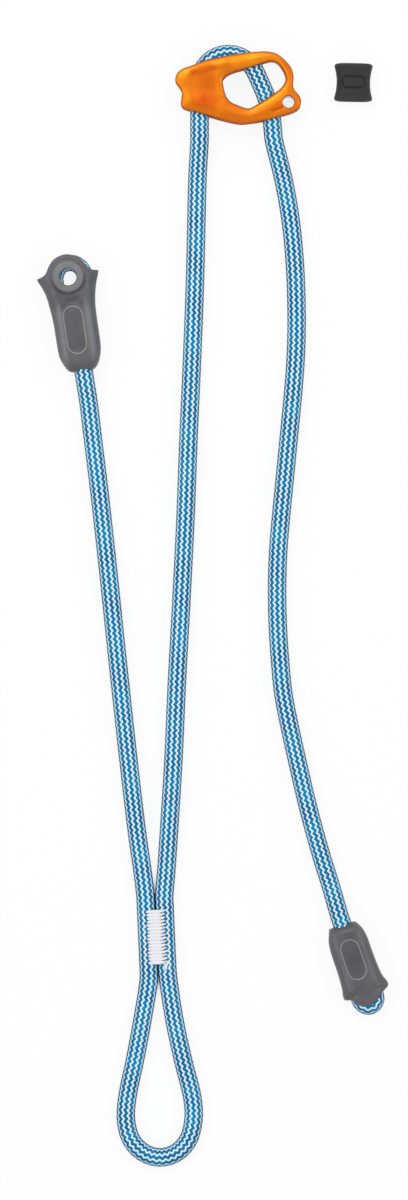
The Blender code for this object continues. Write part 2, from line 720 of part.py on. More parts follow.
def make_tail_end(frame):
    line = tail_eye_points()
    curve = tube_curve("tail_end_eye_rope", line, SEWN_DIAMETER, ROPE_BEVEL_STEPS)
    add_object("tail_end_eye_rope", curve, "rope_sheath", frame)
    shares = [(x, -y) for x, y in TAIL_SLEEVE_SHARES]
    outline = sleeve_outline(
        shares, TAIL_SLEEVE_LENGTH, TAIL_TONGUE_REACH, TAIL_SLEEVE_MIDDLE
    )
    spine_end = TAIL_SLEEVE_LENGTH * SLEEVE_SPINE_SHARE
    sleeve = sleeve_body("tail_end_sleeve", outline, spine_end, frame)
    cut_rope_bore(sleeve, "tail_bore_cutter", bore_points(line), frame)
    strand_run = TAIL_SLEEVE_LENGTH * TAIL_JOIN_SHARE
    stitch = (TAIL_SLEEVE_MIDDLE, strand_run / 2)
    cut_thread_pocket(sleeve, "tail_pocket_cutter", stitch, strand_run, frame)
    cut_plaque(
        sleeve,
        "tail_plaque_cutter",
        TAIL_PLAQUE_LENGTH,
        TAIL_PLAQUE_WIDTH,
        TAIL_PLAQUE_PLACE,
        frame,
    )
    stitch_length = strand_run - 2 * STITCH_END_MARGIN
    thread_pair("tail_end", frame, stitch, stitch_length, SLEEVE_THICKNESS / 2)


def make_tie_in(frame):
    """The tie-in loop: two sewn legs side by side, then the free loop below."""
    half = STRAND_PITCH / 2
    top = TIE_IN_STITCH_LENGTH / 2 + TIE_IN_LEG_MARGIN
    sewn = STITCH_ROPE_Z
    loop = [(x * MM, y * MM, ROPE_REST_Z) for x, y in TIE_IN_LOOP_ROUTE]
    points = [(-half, top, sewn), (-half, -top, sewn), *loop]
    points += [(half, -top, sewn), (half, top, sewn)]
    line = smooth_points(points, 2 * SQUARE_RUN)
    shares = [SEWN_SHARE if point.y > -top - SEAT_GAP else 1.0 for point in line]
    curve = tube_curve("tie_in_loop_rope", line, ROPE_DIAMETER, ROPE_BEVEL_STEPS, shares)
    add_object("tie_in_loop_rope", curve, "rope_sheath", frame)
    thread_pair("tie_in", frame, (0.0, 0.0), TIE_IN_STITCH_LENGTH, sewn)


def bend_points():
    """The rope's bend in the adjuster: up one leg, over the arc, down the other."""
    z = ROPE_IN_PLATES_Z
    radius = BEND_RADIUS
    leave_x = radius * math.cos(BEND_LEAVES_ARC_AT)
    leave_y = radius * math.sin(BEND_LEAVES_ARC_AT)
    points = [(-radius, -BEND_LEG_LENGTH, z), (-radius, -BEND_LEG_LENGTH / 2, z)]
    for k in range(BEND_ARC_STEPS + 1):
        angle = math.pi + (BEND_LEAVES_ARC_AT - math.pi) * k / BEND_ARC_STEPS
        points.append((radius * math.cos(angle), radius * math.sin(angle), z))
    fall = BEND_LEG_LENGTH + leave_y
    for across_share, down_share in BEND_OUT_SHARES:
        x = leave_x + across_share * radius
        points.append((x, leave_y - down_share * fall, z))
    return smooth_points(points, BEND_STEP)


def add_spacer(name, place, radius, bore, frame):
    """A round pin with a bore between the plates, clear of both by the seat gap."""
    height = PLATE_GAP - 2 * SEAT_GAP
    bottom = (place[0], place[1], PLATE_THICKNESS + SEAT_GAP)
    mesh = cylinder_mesh(name, radius, height, ROUND_STEPS)
    spacer = add_object(name, mesh, "steel", frame, bottom)
    shade_round(spacer)
    hole = cylinder_mesh(name + "_bore", bore, height + 2 * CUT_OVERRUN, SMALL_ROUND_STEPS)
    low = (bottom[0], bottom[1], bottom[2] - CUT_OVERRUN)
    cut(spacer, add_cutter(name + "_bore_cutter", hole, frame, low))
    return spacer


def rivet_profile(grow):
    """Radius and height of a rivet from its flush head up, grown by a clearance."""
    reach = PLATE_GAP + PLATE_THICKNESS * (1 + RIVET_BITE_SHARE)
    return [
        (RIVET_HEAD_RADIUS + grow, RIVET_SUNK),
        (RIVET_RADIUS + grow, RIVET_SUNK + RIVET_HEAD_DEPTH),
        (RIVET_RADIUS + grow, reach + grow),
    ]


def turned_mesh(name, profile, steps):
    """A solid turned about +Z through (radius, z) points, flat at both ends."""
    rings = [
        [
            (
                radius * math.cos(2 * math.pi * k / steps),
                radius * math.sin(2 * math.pi * k / steps),
                z,
            )
            for k in range(steps)
        ]
        for radius, z in profile
    ]
    return loft(name, rings)


def make_rivet(name, place, plates, frame):
    """A countersunk rivet from the rear, and the holes that it fills."""
    mesh = turned_mesh(name, rivet_profile(0.0), SMALL_ROUND_STEPS)
    rivet = add_object(name, mesh, "steel", frame, (place[0], place[1], 0.0))
    shade_round(rivet)
    profile = rivet_profile(SEAT_GAP)
    head_radius, head_z = profile[0]
    profile.insert(0, (head_radius, head_z - CUT_OVERRUN))
    hole = turned_mesh(name + "_hole", profile, SMALL_ROUND_STEPS)
    cutter = add_cutter(name + "_cutter", hole, frame, (place[0], place[1], 0.0))
    for plate in plates:
        cut(plate, cutter)


def plate_place(shares):
    return shares[0] * PLATE_WIDTH, shares[1] * PLATE_HEIGHT


def make_plate(name, z, frame):
    outline = smooth_points(
        scaled(PLATE_SHARES, PLATE_WIDTH, PLATE_HEIGHT), PLATE_THICKNESS, cyclic=True
    )
    window_place = plate_place(WINDOW_PLACE_SHARES)
    window = smooth_points(
        scaled(WINDOW_SHARES, WINDOW_WIDTH, WINDOW_HEIGHT, window_place),
        PLATE_THICKNESS,
        cyclic=True,
    )
    hole = circle(EAR_HOLE_RADIUS, ROUND_STEPS, plate_place(EAR_HOLE_PLACE_SHARES))
    curve = outline_curve(name, [outline, window, hole], PLATE_THICKNESS, PLATE_EDGE)
    plate = add_object(name, curve, "orange_anodised", frame, (0.0, 0.0, z))
    plate = become_mesh(plate)
    shade_round(plate, FLAT_SHARP_ANGLE)
    return plate


def make_adjuster(frame):
    front_z = PLATE_THICKNESS + PLATE_GAP + PLATE_THICKNESS / 2
    rear = make_plate("adjuster_rear_plate", PLATE_THICKNESS / 2, frame)
    front = make_plate("adjuster_front_plate", front_z, frame)
    panel = smooth_points(
        scaled(PANEL_SHARES, PLATE_WIDTH, PLATE_HEIGHT), PLATE_THICKNESS, cyclic=True
    )
    top = front_z + PLATE_THICKNESS / 2
    cut_flat(front, "panel_cutter", [panel], top, PLATE_PANEL_DEPTH, frame)
    bore = RIVET_RADIUS + SEAT_GAP
    bar = (FRICTION_BAR_X, -FRICTION_BAR_DROP)
    nose = (NOSE_SPACER_X, -NOSE_SPACER_DROP)
    guide = plate_place(GUIDE_SPACER_PLACE_SHARES)
    ear = plate_place(EAR_HOLE_PLACE_SHARES)
    ear_outer = EAR_HOLE_RADIUS + EAR_BUSH_WALL
    add_spacer("friction_bar", bar, FRICTION_BAR_RADIUS, bore, frame)
    add_spacer("nose_spacer", nose, NOSE_SPACER_RADIUS, bore, frame)
    add_spacer("guide_spacer", guide, GUIDE_SPACER_RADIUS, bore, frame)
    add_spacer("ear_bush", ear, ear_outer, EAR_HOLE_RADIUS, frame)
    make_rivet("friction_bar_rivet", bar, (rear, front), frame)
    make_rivet("nose_rivet", nose, (rear, front), frame)
    make_rivet("guide_rivet", guide, (rear, front), frame)


def make_bend(frame):
    line = bend_points()
    curve = tube_curve("adjuster_rope_bight", line, ROPE_DIAMETER, ROPE_BEVEL_STEPS)
    return add_object("adjuster_rope_bight", curve, "rope_sheath", frame)


def retainer_ring(width, thickness, y, z):
    """A ring across the retainer: flat faces with fully round sides."""
    radius, half = thickness / 2, (width - thickness) / 2
    ring = []
    for side in (1, -1):
        for k in range(RETAINER_CORNER_STEPS + 1):
            angle = math.pi * (k / RETAINER_CORNER_STEPS - side / 2)
            x = side * half + radius * math.cos(angle)
            ring.append((x, y, z + radius * math.sin(angle)))
    return ring


def retainer_mesh(name, inset, length):
    """The waisted tube's outer skin, or its slot where inset is the wall."""
    rings = []
    for k in range(RETAINER_SECTIONS):
        along = 2 * k / (RETAINER_SECTIONS - 1) - 1
        widen = RETAINER_WAIST_SHARE + (1 - RETAINER_WAIST_SHARE) * along * along
        width = RETAINER_WIDTH * widen - 2 * inset
        thickness = RETAINER_THICKNESS - 2 * inset
        y = along * length / 2
        rings.append(retainer_ring(width, thickness, y, RETAINER_THICKNESS / 2))
    return loft(name, rings)


def make_retainer(frame):
    name = "carabiner_retainer"
    retainer = add_object(
        name, retainer_mesh(name, 0.0, RETAINER_LENGTH), "retainer_rubber", frame
    )
    shade_round(retainer)
    slot = retainer_mesh(
        "retainer_slot", RETAINER_WALL, RETAINER_LENGTH + 2 * CUT_OVERRUN
    )
    cut(retainer, add_cutter("retainer_slot_cutter", slot, frame))
    plaque = stadium(
        RETAINER_PLAQUE_LENGTH, RETAINER_PLAQUE_WIDTH, SMALL_ROUND_STEPS // 2
    )
    loop = [(y, x, z) for x, y, z in plaque]
    cut_flat(
        retainer,
        "retainer_plaque_cutter",
        [loop],
        RETAINER_THICKNESS,
        RETAINER_PLAQUE_DEPTH,
        frame,
    )


def make_free_stretches():
    """The fixed arm, the adjustable arm and the tail, each end face to face."""
    fixed = frame_matrix(FIXED_SLEEVE_PLACE, FIXED_SLEEVE_TILT)
    tail = frame_matrix(TAIL_SLEEVE_PLACE, TAIL_SLEEVE_TILT)
    tie_in = frame_matrix(TIE_IN_PLACE, TIE_IN_TILT)
    adjuster = frame_matrix(ADJUSTER_PIVOT, 0.0)
    half = STRAND_PITCH / 2
    top = TIE_IN_STITCH_LENGTH / 2 + TIE_IN_LEG_MARGIN
    legs = []
    for x in (-half, half):
        tip = Vector((x, top, STITCH_ROPE_Z))
        legs.append(rope_end(tie_in, tip, Vector((x, 0.0, STITCH_ROPE_Z))))
    eye, tail_eye, bend = fixed_eye_points(), tail_eye_points(), bend_points()
    from_eye = rope_end(fixed, eye[0], eye[1])
    from_bend = rope_end(adjuster, bend[0], bend[1])
    to_tail = rope_end(adjuster, bend[-1], bend[-2])
    tail_end = rope_end(tail, tail_eye[0], tail_eye[1])
    sewn_end = (1.0, SEWN_SHARE)
    free_rope("fixed_arm_rope", from_eye, FIXED_ARM_ROUTE, legs[0], sewn_end)
    free_rope("adjustable_arm_rope", from_bend, ADJUSTABLE_ARM_ROUTE, legs[1], sewn_end)
    free_rope("tail_rope", to_tail, TAIL_ROUTE, tail_end)


def build_lanyard():
    make_fixed_end(add_frame("fixed_end", FIXED_SLEEVE_PLACE, FIXED_SLEEVE_TILT))
    make_tail_end(add_frame("tail_end", TAIL_SLEEVE_PLACE, TAIL_SLEEVE_TILT))
    make_tie_in(add_frame("tie_in", TIE_IN_PLACE, TIE_IN_TILT))
    pivot = add_frame("adjuster_pivot", ADJUSTER_PIVOT, 0.0)
    make_adjuster(pivot)
    make_bend(pivot)
    make_retainer(add_frame("retainer", RETAINER_PLACE, RETAINER_TILT))
    make_free_stretches()


build_lanyard()
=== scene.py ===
# %% [markdown]
# # A tree climbing lanyard
#
# One braided rope makes the whole lanyard. It has a sewn eye under a rubber sleeve at
# the upper left, a tie-in loop at the bottom, a bend between the two plates of a length
# adjuster at the top, and a second small eye under a sleeve at its tail. A loose rubber
# retainer lies beside the adjuster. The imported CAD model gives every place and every
# moving body, and this script dresses it with surfaces and materials.

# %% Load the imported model
import math

import bpy
import numpy as np
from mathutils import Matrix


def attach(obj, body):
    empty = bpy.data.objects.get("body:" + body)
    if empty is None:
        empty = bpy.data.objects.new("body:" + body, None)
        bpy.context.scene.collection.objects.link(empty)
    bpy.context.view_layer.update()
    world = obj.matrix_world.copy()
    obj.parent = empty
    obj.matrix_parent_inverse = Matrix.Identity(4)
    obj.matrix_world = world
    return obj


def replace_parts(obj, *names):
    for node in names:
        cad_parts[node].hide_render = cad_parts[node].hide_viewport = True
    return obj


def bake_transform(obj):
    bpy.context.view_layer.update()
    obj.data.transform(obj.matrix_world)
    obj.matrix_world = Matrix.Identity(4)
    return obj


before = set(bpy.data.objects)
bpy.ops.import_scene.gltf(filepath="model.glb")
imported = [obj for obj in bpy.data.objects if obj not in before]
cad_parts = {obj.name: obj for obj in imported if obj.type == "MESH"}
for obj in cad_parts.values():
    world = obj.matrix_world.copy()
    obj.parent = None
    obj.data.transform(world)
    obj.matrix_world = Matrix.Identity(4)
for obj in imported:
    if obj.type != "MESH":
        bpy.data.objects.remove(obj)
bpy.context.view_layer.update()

MM = 0.001

# %% [markdown]
# ## The camera
#
# The photograph looks straight down on the lanyard from far away, so that nothing on it
# leans. A camera could be orthographic, but a long lens far above gives the same picture
# and lets the other views fit the object by its lens. The image's long side covers 1200
# pixels of half a millimetre each.

# %% Camera over the lanyard
IMAGE_WIDTH, IMAGE_HEIGHT = 408, 1200
PIXEL_SIZE = 0.5 * MM
SENSOR_SIZE = 36.0
CAMERA_DISTANCE = 4.0
LENS_LENGTH = SENSOR_SIZE * CAMERA_DISTANCE / (IMAGE_HEIGHT * PIXEL_SIZE)
SHARP_PLANE_HEIGHT = 6.0 * MM
PICTURE_MIDDLE = (-4.5 * MM, 3.0 * MM)

camera = bpy.data.objects.new("camera", bpy.data.cameras.new("camera"))
camera.data.sensor_width = SENSOR_SIZE
camera.data.lens = LENS_LENGTH
camera.location = (*PICTURE_MIDDLE, CAMERA_DISTANCE + SHARP_PLANE_HEIGHT)
bpy.context.scene.collection.objects.link(camera)
bpy.context.scene.camera = camera
print("lens", round(LENS_LENGTH), "mm for", IMAGE_WIDTH, "x", IMAGE_HEIGHT)

# %% [markdown]
# ## Smooth lines through listed points
#
# A rope never has a corner, so each route is a chain of cubic spans. Blender's own
# curves could do it, but an array of points is needed here, because the rope's braid is
# worked out along it. The slope at each point is the slope between its two neighbours,
# which is the rule that the CAD source uses as well.

# %% Lines as arrays
SPAN_CUTS = 32


def smooth_line(points, closed=False):
    """Cubic spans through the points, with the chord between neighbours as the slope.

    On a span of length L from a to b, with slopes m and n and r = t t (3 - 2 t), the
    point is a (1 - r) + b r + L m t (1 - t)(1 - t) - L n t t (1 - t).
    """
    points = np.asarray(points, float)
    before, after = np.roll(points, 1, axis=0), np.roll(points, -1, axis=0)
    if not closed:
        before[0], after[-1] = points[0], points[-1]
    reach = np.linalg.norm(after - points, axis=1) + np.linalg.norm(points - before, axis=1)
    slopes = (after - before) / reach[:, None]
    starts = np.arange(len(points) if closed else len(points) - 1)
    ends = (starts + 1) % len(points)
    a, b = points[starts, None], points[ends, None]
    span = np.linalg.norm(b - a, axis=2, keepdims=True)
    t = (np.arange(SPAN_CUTS) / SPAN_CUTS)[None, :, None]
    rise = t * t * (3 - 2 * t)
    line = a * (1 - rise) + b * rise
    line += slopes[starts, None] * span * t * (1 - t) ** 2
    line -= slopes[ends, None] * span * t * t * (1 - t)
    line = line.reshape(-1, points.shape[1])
    return line if closed else np.vstack([line, points[-1:]])


def run_along(line):
    """The length along a line at each of its points."""
    steps = np.linalg.norm(np.diff(line, axis=0), axis=1)
    return np.concatenate([[0.0], np.cumsum(steps)])


def even_line(line, step):
    """The same line at equal steps, and the length along it at each point."""
    run = run_along(line)
    even = np.linspace(0.0, run[-1], max(2, round(run[-1] / step) + 1))
    return np.stack([np.interp(even, run, axis) for axis in line.T], axis=1), even


def placed(points, place, tilt):
    """Points turned by tilt about +Z, then moved to place on the floor."""
    points = np.asarray(points, float)
    x = points[..., 0] * math.cos(tilt) - points[..., 1] * math.sin(tilt) + place[0]
    y = points[..., 0] * math.sin(tilt) + points[..., 1] * math.cos(tilt) + place[1]
    return np.stack([x, y, points[..., 2]], axis=-1)


def lifted(flat, z):
    """Points of the floor plane raised to height z."""
    flat = np.asarray(flat, float)
    return np.column_stack([flat[:, 0], flat[:, 1], np.full(len(flat), z)])


def round_steps(count):
    """The angles of even steps round a full circle."""
    return 2 * np.pi * np.arange(count) / count


print("span of", SPAN_CUTS, "cuts ready")

# %% Curves that shape and shade
def eased(value, low, high):
    """0 below low, 1 above high, and 3 t t - 2 t t t between them."""
    t = np.clip((value - low) / (high - low), 0, 1)
    return t * t * (3 - 2 * t)


def bell(value, width):
    """1 where the value is 0, falling to both sides as e to the power -(value / width)^2."""
    return np.exp(-((value / width) ** 2))


def quarter_fall(share):
    """A quarter round's fall: 1 at its foot, where t is 0, then 1 - sqrt(1 - (1 - t)^2)."""
    return 1 - np.sqrt(1 - (1 - np.clip(share, 0, 1)) ** 2)


print("a bell keeps", round(float(bell(1.0, 1.0)), 2), "of its height at its width")

# %% [markdown]
# ## Where the rope runs
#
# The seven stretches below follow the CAD source's routes in metres, except that the two
# eyes and the legs under the stitching lie up to a millimetre or two nearer to the
# photograph. They follow each other along the one rope: the hidden end in the fixed eye,
# the fixed arm, the tie-in loop, the adjustable arm, the bend, the tail and its eye.
# Keeping that order lets the braid's pattern run on from each stretch to the next.

# %% Sizes of the rope and places of what it runs through
ROPE_DIAMETER = 9.5 * MM
SEWN_SHARE = 0.947
SEWN_DIAMETER = ROPE_DIAMETER * SEWN_SHARE
SEAT_GAP = 0.3 * MM
FLOOR_GAP = 0.1 * MM
STRAND_PITCH = SEWN_DIAMETER + SEAT_GAP
SQUARE_RUN = 5.0 * MM
MOUTH_RUN = 3.0 * MM
THREAD_DIAMETER = 0.6 * MM
ROPE_REST_Z = ROPE_DIAMETER / 2 + FLOOR_GAP
STITCH_ROPE_Z = FLOOR_GAP + THREAD_DIAMETER + SEAT_GAP + SEWN_DIAMETER / 2
SLEEVE_MIDDLE_Z = SEWN_DIAMETER / 2 + SEAT_GAP + 2.05 * MM
SLEEVE_HALF_WIDTH = (STRAND_PITCH + SEWN_DIAMETER) / 2 + SEAT_GAP + 1.45 * MM
ROPE_IN_PLATES_Z = 8.05 * MM

FIXED_PLACE, FIXED_TILT = (-72.35 * MM, 164.3 * MM), math.radians(8.5)
FIXED_LENGTH = 47.8 * MM
TAIL_PLACE, TAIL_TILT = (75.75 * MM, -194.5 * MM), math.radians(18.6)
TAIL_LENGTH = 36.8 * MM
TAIL_MIDDLE, TAIL_CROWN = 0.7 * MM, -1.6 * MM
TIE_IN_PLACE, TIE_IN_TILT = (-28.2 * MM, -165.4 * MM), math.radians(2.5)
TIE_IN_STITCH_LENGTH = 25.5 * MM
TIE_IN_TOP = TIE_IN_STITCH_LENGTH / 2 + 1.6 * MM
ADJUSTER_PIVOT = (7.75 * MM, 261.25 * MM)
BEND_RADIUS = 14.5 * MM
print("rope", ROPE_DIAMETER / MM, "mm, sewn strands", round(SEWN_DIAMETER / MM, 2), "mm")

# %% Routes inside the sleeves, the stitching and the adjuster
HALF_PITCH = STRAND_PITCH / 2
FIXED_NECK_SHARE, FIXED_END_SHARE, TAIL_NECK_SHARE = 0.31, 0.76, 0.64
FIXED_EYE_SHARES = np.array([
    (0.62, -1.02), (0.82, -0.50), (0.89, -0.04), (0.76, 0.38), (0.45, 0.68), (0.04, 0.76),
    (-0.37, 0.62), (-0.65, 0.20), (-0.72, -0.27), (-0.60, -0.91),
])
TIE_IN_LOOP_ROUTE = np.array([
    (-4.9, -21.5), (-8.9, -41.3), (-13.5, -61.1), (-18.0, -79.0), (-19.3, -90.8),
    (-17.0, -101.0), (-11.0, -107.7), (-3.1, -110.3), (5.0, -108.4), (11.3, -102.2),
    (14.4, -92.3), (14.3, -81.0), (10.5, -62.1), (7.1, -42.0), (4.9, -21.5),
]) * MM
BEND_LEG = 23.2 * MM
BEND_LEAVES_ARC_AT = math.radians(25.0)
BEND_OUT_SHARES = np.array([
    (0.19, 0.20), (0.36, 0.40), (0.48, 0.60), (0.58, 0.81), (0.62, 1.0),
])


def fixed_eye_line():
    """From the sleeve's mouth, up one strand, round the eye and down to the hidden end."""
    neck, end = -FIXED_LENGTH * FIXED_NECK_SHARE, -FIXED_LENGTH * FIXED_END_SHARE
    middle = 0.06 * SLEEVE_HALF_WIDTH
    flat = np.vstack([
        [(middle, -FIXED_LENGTH), (middle, -FIXED_LENGTH + MOUTH_RUN)],
        [(HALF_PITCH, end), (HALF_PITCH, neck)],
        FIXED_EYE_SHARES * STRAND_PITCH,
        [(-HALF_PITCH, neck), (-HALF_PITCH, end)],
    ])
    return placed(smooth_line(lifted(flat, SLEEVE_MIDDLE_Z)), FIXED_PLACE, FIXED_TILT)


def tail_eye_line():
    """From the sleeve's mouth, round the tight crown and back to the hidden end."""
    angle = np.pi * np.arange(1, 8) / 8
    x = TAIL_MIDDLE + 0.5 * MM + 0.9 * HALF_PITCH * np.cos(angle)
    left, right = TAIL_MIDDLE - HALF_PITCH, TAIL_MIDDLE + HALF_PITCH
    flat = np.vstack([
        [(TAIL_MIDDLE, TAIL_LENGTH), (TAIL_MIDDLE, TAIL_LENGTH - MOUTH_RUN)],
        [(right, TAIL_LENGTH * TAIL_NECK_SHARE), (right, TAIL_CROWN)],
        np.column_stack([x, TAIL_CROWN - HALF_PITCH * np.sin(angle)]),
        [(left + 0.8 * MM, TAIL_CROWN), (left, TAIL_LENGTH * 0.74)],
    ])
    return placed(smooth_line(lifted(flat, SLEEVE_MIDDLE_Z)), TAIL_PLACE, TAIL_TILT)


def tie_in_line():
    """Down the left sewn leg, round the free loop and up the right sewn leg."""
    left = [(-HALF_PITCH, TIE_IN_TOP, STITCH_ROPE_Z), (-HALF_PITCH, -TIE_IN_TOP, STITCH_ROPE_Z)]
    right = [(HALF_PITCH, -TIE_IN_TOP, STITCH_ROPE_Z), (HALF_PITCH, TIE_IN_TOP, STITCH_ROPE_Z)]
    points = np.vstack([left, lifted(TIE_IN_LOOP_ROUTE, ROPE_REST_Z), right])
    return placed(smooth_line(points), TIE_IN_PLACE, TIE_IN_TILT)


def bend_line():
    """Up one leg, over the arc and down the other leg, between the adjuster's plates."""
    angle = np.linspace(np.pi, BEND_LEAVES_ARC_AT, 10)
    arc = BEND_RADIUS * np.column_stack([np.cos(angle), np.sin(angle)])
    fall = BEND_LEG + arc[-1, 1]
    out = arc[-1] + BEND_OUT_SHARES * (BEND_RADIUS, -fall)
    legs = [(-BEND_RADIUS, -BEND_LEG), (-BEND_RADIUS, -BEND_LEG / 2)]
    flat = np.vstack([legs, arc, out])
    return placed(smooth_line(lifted(flat, ROPE_IN_PLATES_Z)), ADJUSTER_PIVOT, 0.0)


fixed_eye, tail_eye = fixed_eye_line(), tail_eye_line()
tie_in, bend = tie_in_line(), bend_line()
print("eye", round(run_along(fixed_eye)[-1], 3), "m, loop", round(run_along(tie_in)[-1], 3))

# %% [markdown]
# ## The three free stretches
#
# The arms and the tail lie loose on the floor between the sewn pieces. Each of them
# leaves its neighbour by a short straight run, because a stiff braided rope does not
# turn right at a sleeve or a stitching, and then follows its own listed points.

# %% Free stretches on the floor
FIXED_ARM_ROUTE = np.array([
    (-62.0, 100.0), (-60.0, 83.0), (-57.5, 63.0), (-53.0, 23.0), (-48.8, -17.0),
    (-44.5, -57.0), (-40.0, -97.0), (-37.5, -117.0), (-35.2, -133.0),
]) * MM
ADJUSTABLE_ARM_ROUTE = np.array([
    (-7.8, 213.0), (-9.0, 163.0), (-10.5, 123.0), (-12.3, 83.0), (-13.8, 43.0),
    (-15.8, 3.0), (-18.0, -37.0), (-19.8, -77.0), (-22.3, -117.0), (-23.4, -133.0),
]) * MM
TAIL_ROUTE = np.array([
    (35.3, 213.0), (38.8, 193.0), (40.8, 173.0), (41.7, 153.0), (41.7, 133.0),
    (40.6, 113.0), (36.8, 73.0), (33.0, 33.0), (32.1, 13.0), (32.3, -7.0),
    (33.5, -27.0), (35.7, -47.0), (44.3, -87.0), (49.2, -107.0), (54.8, -127.0),
    (58.3, -138.0),
]) * MM


def straight_out(line):
    """The first point of a neighbour's line, and two points straight out of it."""
    out = (line[0] - line[1]) / np.linalg.norm(line[0] - line[1])
    return np.array([line[0], line[0] + out * SEAT_GAP, line[0] + out * (SEAT_GAP + SQUARE_RUN)])


def free_line(start, route, end):
    """A smooth line from one neighbour to the other, never lower than a rope can lie."""
    points = np.vstack([straight_out(start), lifted(route, ROPE_REST_Z), straight_out(end)[::-1]])
    line = smooth_line(points)
    line[:, 2] = np.maximum(line[:, 2], ROPE_REST_Z)
    return line


fixed_arm = free_line(fixed_eye, FIXED_ARM_ROUTE, tie_in)
adjustable_arm = free_line(bend, ADJUSTABLE_ARM_ROUTE, tie_in[::-1])
tail = free_line(bend[::-1], TAIL_ROUTE, tail_eye)
for label, line in (("fixed arm", fixed_arm), ("adjustable", adjustable_arm), ("tail", tail)):
    print(label, round(run_along(line)[-1], 4), "m")

# %% [markdown]
# ## Surfaces from grids
#
# Every new piece is a grid of points: rows go along it and columns go round it. The
# grid could be handed to Blender face by face, but whole arrays are quicker and leave no
# gaps. The columns always close into a ring. The rows close as well, as in a ring with a
# hole, or they end in a fan round one middle point.

# %% From a grid to a mesh
def quad_rows(rows, columns, closed):
    """Corner numbers of the quads between each row and the next, wound outwards."""
    row = np.arange(rows if closed else rows - 1)[:, None]
    column = np.arange(columns)[None, :]
    following, beside = (row + 1) % rows, (column + 1) % columns
    corners = [
        row * columns + column, following * columns + column,
        following * columns + beside, row * columns + beside,
    ]
    return np.stack(corners, axis=-1).reshape(-1, 4)


def fan(first, columns, middle, forwards):
    """Triangles from a ring of points to one middle point."""
    ring = first + np.arange(columns)
    after = np.roll(ring, -1)
    middle = np.full(columns, middle)
    return np.stack([ring, after, middle] if forwards else [after, ring, middle], axis=-1)


def grid_object(name, grid, closed=False, flip=False):
    """A closed mesh through a grid of points; flip winds its faces the other way."""
    rows, columns = grid.shape[:2]
    points = grid.reshape(-1, 3)
    quads = quad_rows(rows, columns, closed)
    tris = np.zeros((0, 3), int)
    if not closed:
        ends = np.array([grid[0].mean(axis=0), grid[-1].mean(axis=0)])
        points = np.vstack([points, ends])
        last = (rows - 1) * columns
        tris = np.vstack([
            fan(0, columns, rows * columns, True),
            fan(last, columns, rows * columns + 1, False),
        ])
    if flip:
        quads, tris = quads[:, ::-1], tris[:, ::-1]
    corners = np.concatenate([quads.ravel(), tris.ravel()]).astype(np.int32)
    starts = np.concatenate([
        4 * np.arange(len(quads)), 4 * len(quads) + 3 * np.arange(len(tris)),
    ])
    mesh = bpy.data.meshes.new(name)
    mesh.vertices.add(len(points))
    mesh.vertices.foreach_set("co", points.astype(np.float32).ravel())
    mesh.loops.add(len(corners))
    mesh.loops.foreach_set("vertex_index", corners)
    mesh.polygons.add(len(starts))
    mesh.polygons.foreach_set("loop_start", starts.astype(np.int32))
    mesh.update(calc_edges=True)
    mesh.shade_smooth()
    piece = bpy.data.objects.new(name, mesh)
    bpy.context.scene.collection.objects.link(piece)
    return piece


def triangle_count(piece):
    """How many triangles the mesh is drawn with."""
    piece.data.calc_loop_triangles()
    return len(piece.data.loop_triangles)


def keep_on_points(piece, name, values):
    """Stores one number for each grid point on the mesh; a fan's middle takes the mean."""
    numbers = np.full(len(piece.data.vertices), values.mean(), np.float32)
    numbers[: values.size] = values.ravel()
    piece.data.attributes.new(name, "FLOAT", "POINT").data.foreach_set("value", numbers)


print("grids become meshes")

# %% [markdown]
# ## The braid of the sheath
#
# The rope's cover is a braid of forty strands. Half of them lean one way and half the
# other, and each passes over two others and under two. With u counted round the rope,
# one unit for each strand, and v along it, the two halves are the diagonals of a grid. A
# strand could be a tube of its own, but forty tubes of a metre and a half would be far
# too heavy, so the tube's skin takes the height of whichever strand lies on top.

# %% Height of the braid
CARRIERS = 40
BRAID_STEP = 1.43 * MM
BRAID_RELIEF = 0.32 * MM
STRAND_ROUNDNESS = 0.85
STRAND_DIVE = 0.35
STRAND_SWAY = 0.32
BLUE_ON_TOP = 1.5


def braid_height(u, v):
    """From 0 in a groove to 1 on a strand's crest.

    A strand bends aside as it passes over the others, so u first sways by a zigzag of v.
    With p = (u - v) / 2 and q = (u + v) / 2, whole numbers P and Q below them and k the
    remainder of P + Q by 4, a strand along q is on top where k is 0 or 1, else one along
    p. Across a strand the height is the root of 1 - 0.85 c c, with c from -1 to 1, and
    along it the sine of its visible run, raised to a small power so that it dives at its
    ends.
    """
    u = u - STRAND_SWAY * (1 - 2 * np.abs(np.mod(v, 2) - 1))
    p, q = (u - v) / 2, (u + v) / 2
    across_p, across_q = p - np.floor(p), q - np.floor(q)
    turn = np.mod(np.floor(p) + np.floor(q), 4)
    along_q = turn < 2
    across = np.where(along_q, across_p, across_q) * 2 - 1
    along = np.where(along_q, (turn + across_q) / 2, (turn - 2 + across_p) / 2)
    crest = np.sqrt(1 - STRAND_ROUNDNESS * across**2)
    return crest * np.sin(np.pi * np.clip(along, 0, 1)) ** STRAND_DIVE


print("zigzag repeats every", round(2 * BRAID_STEP / MM, 2), "mm")

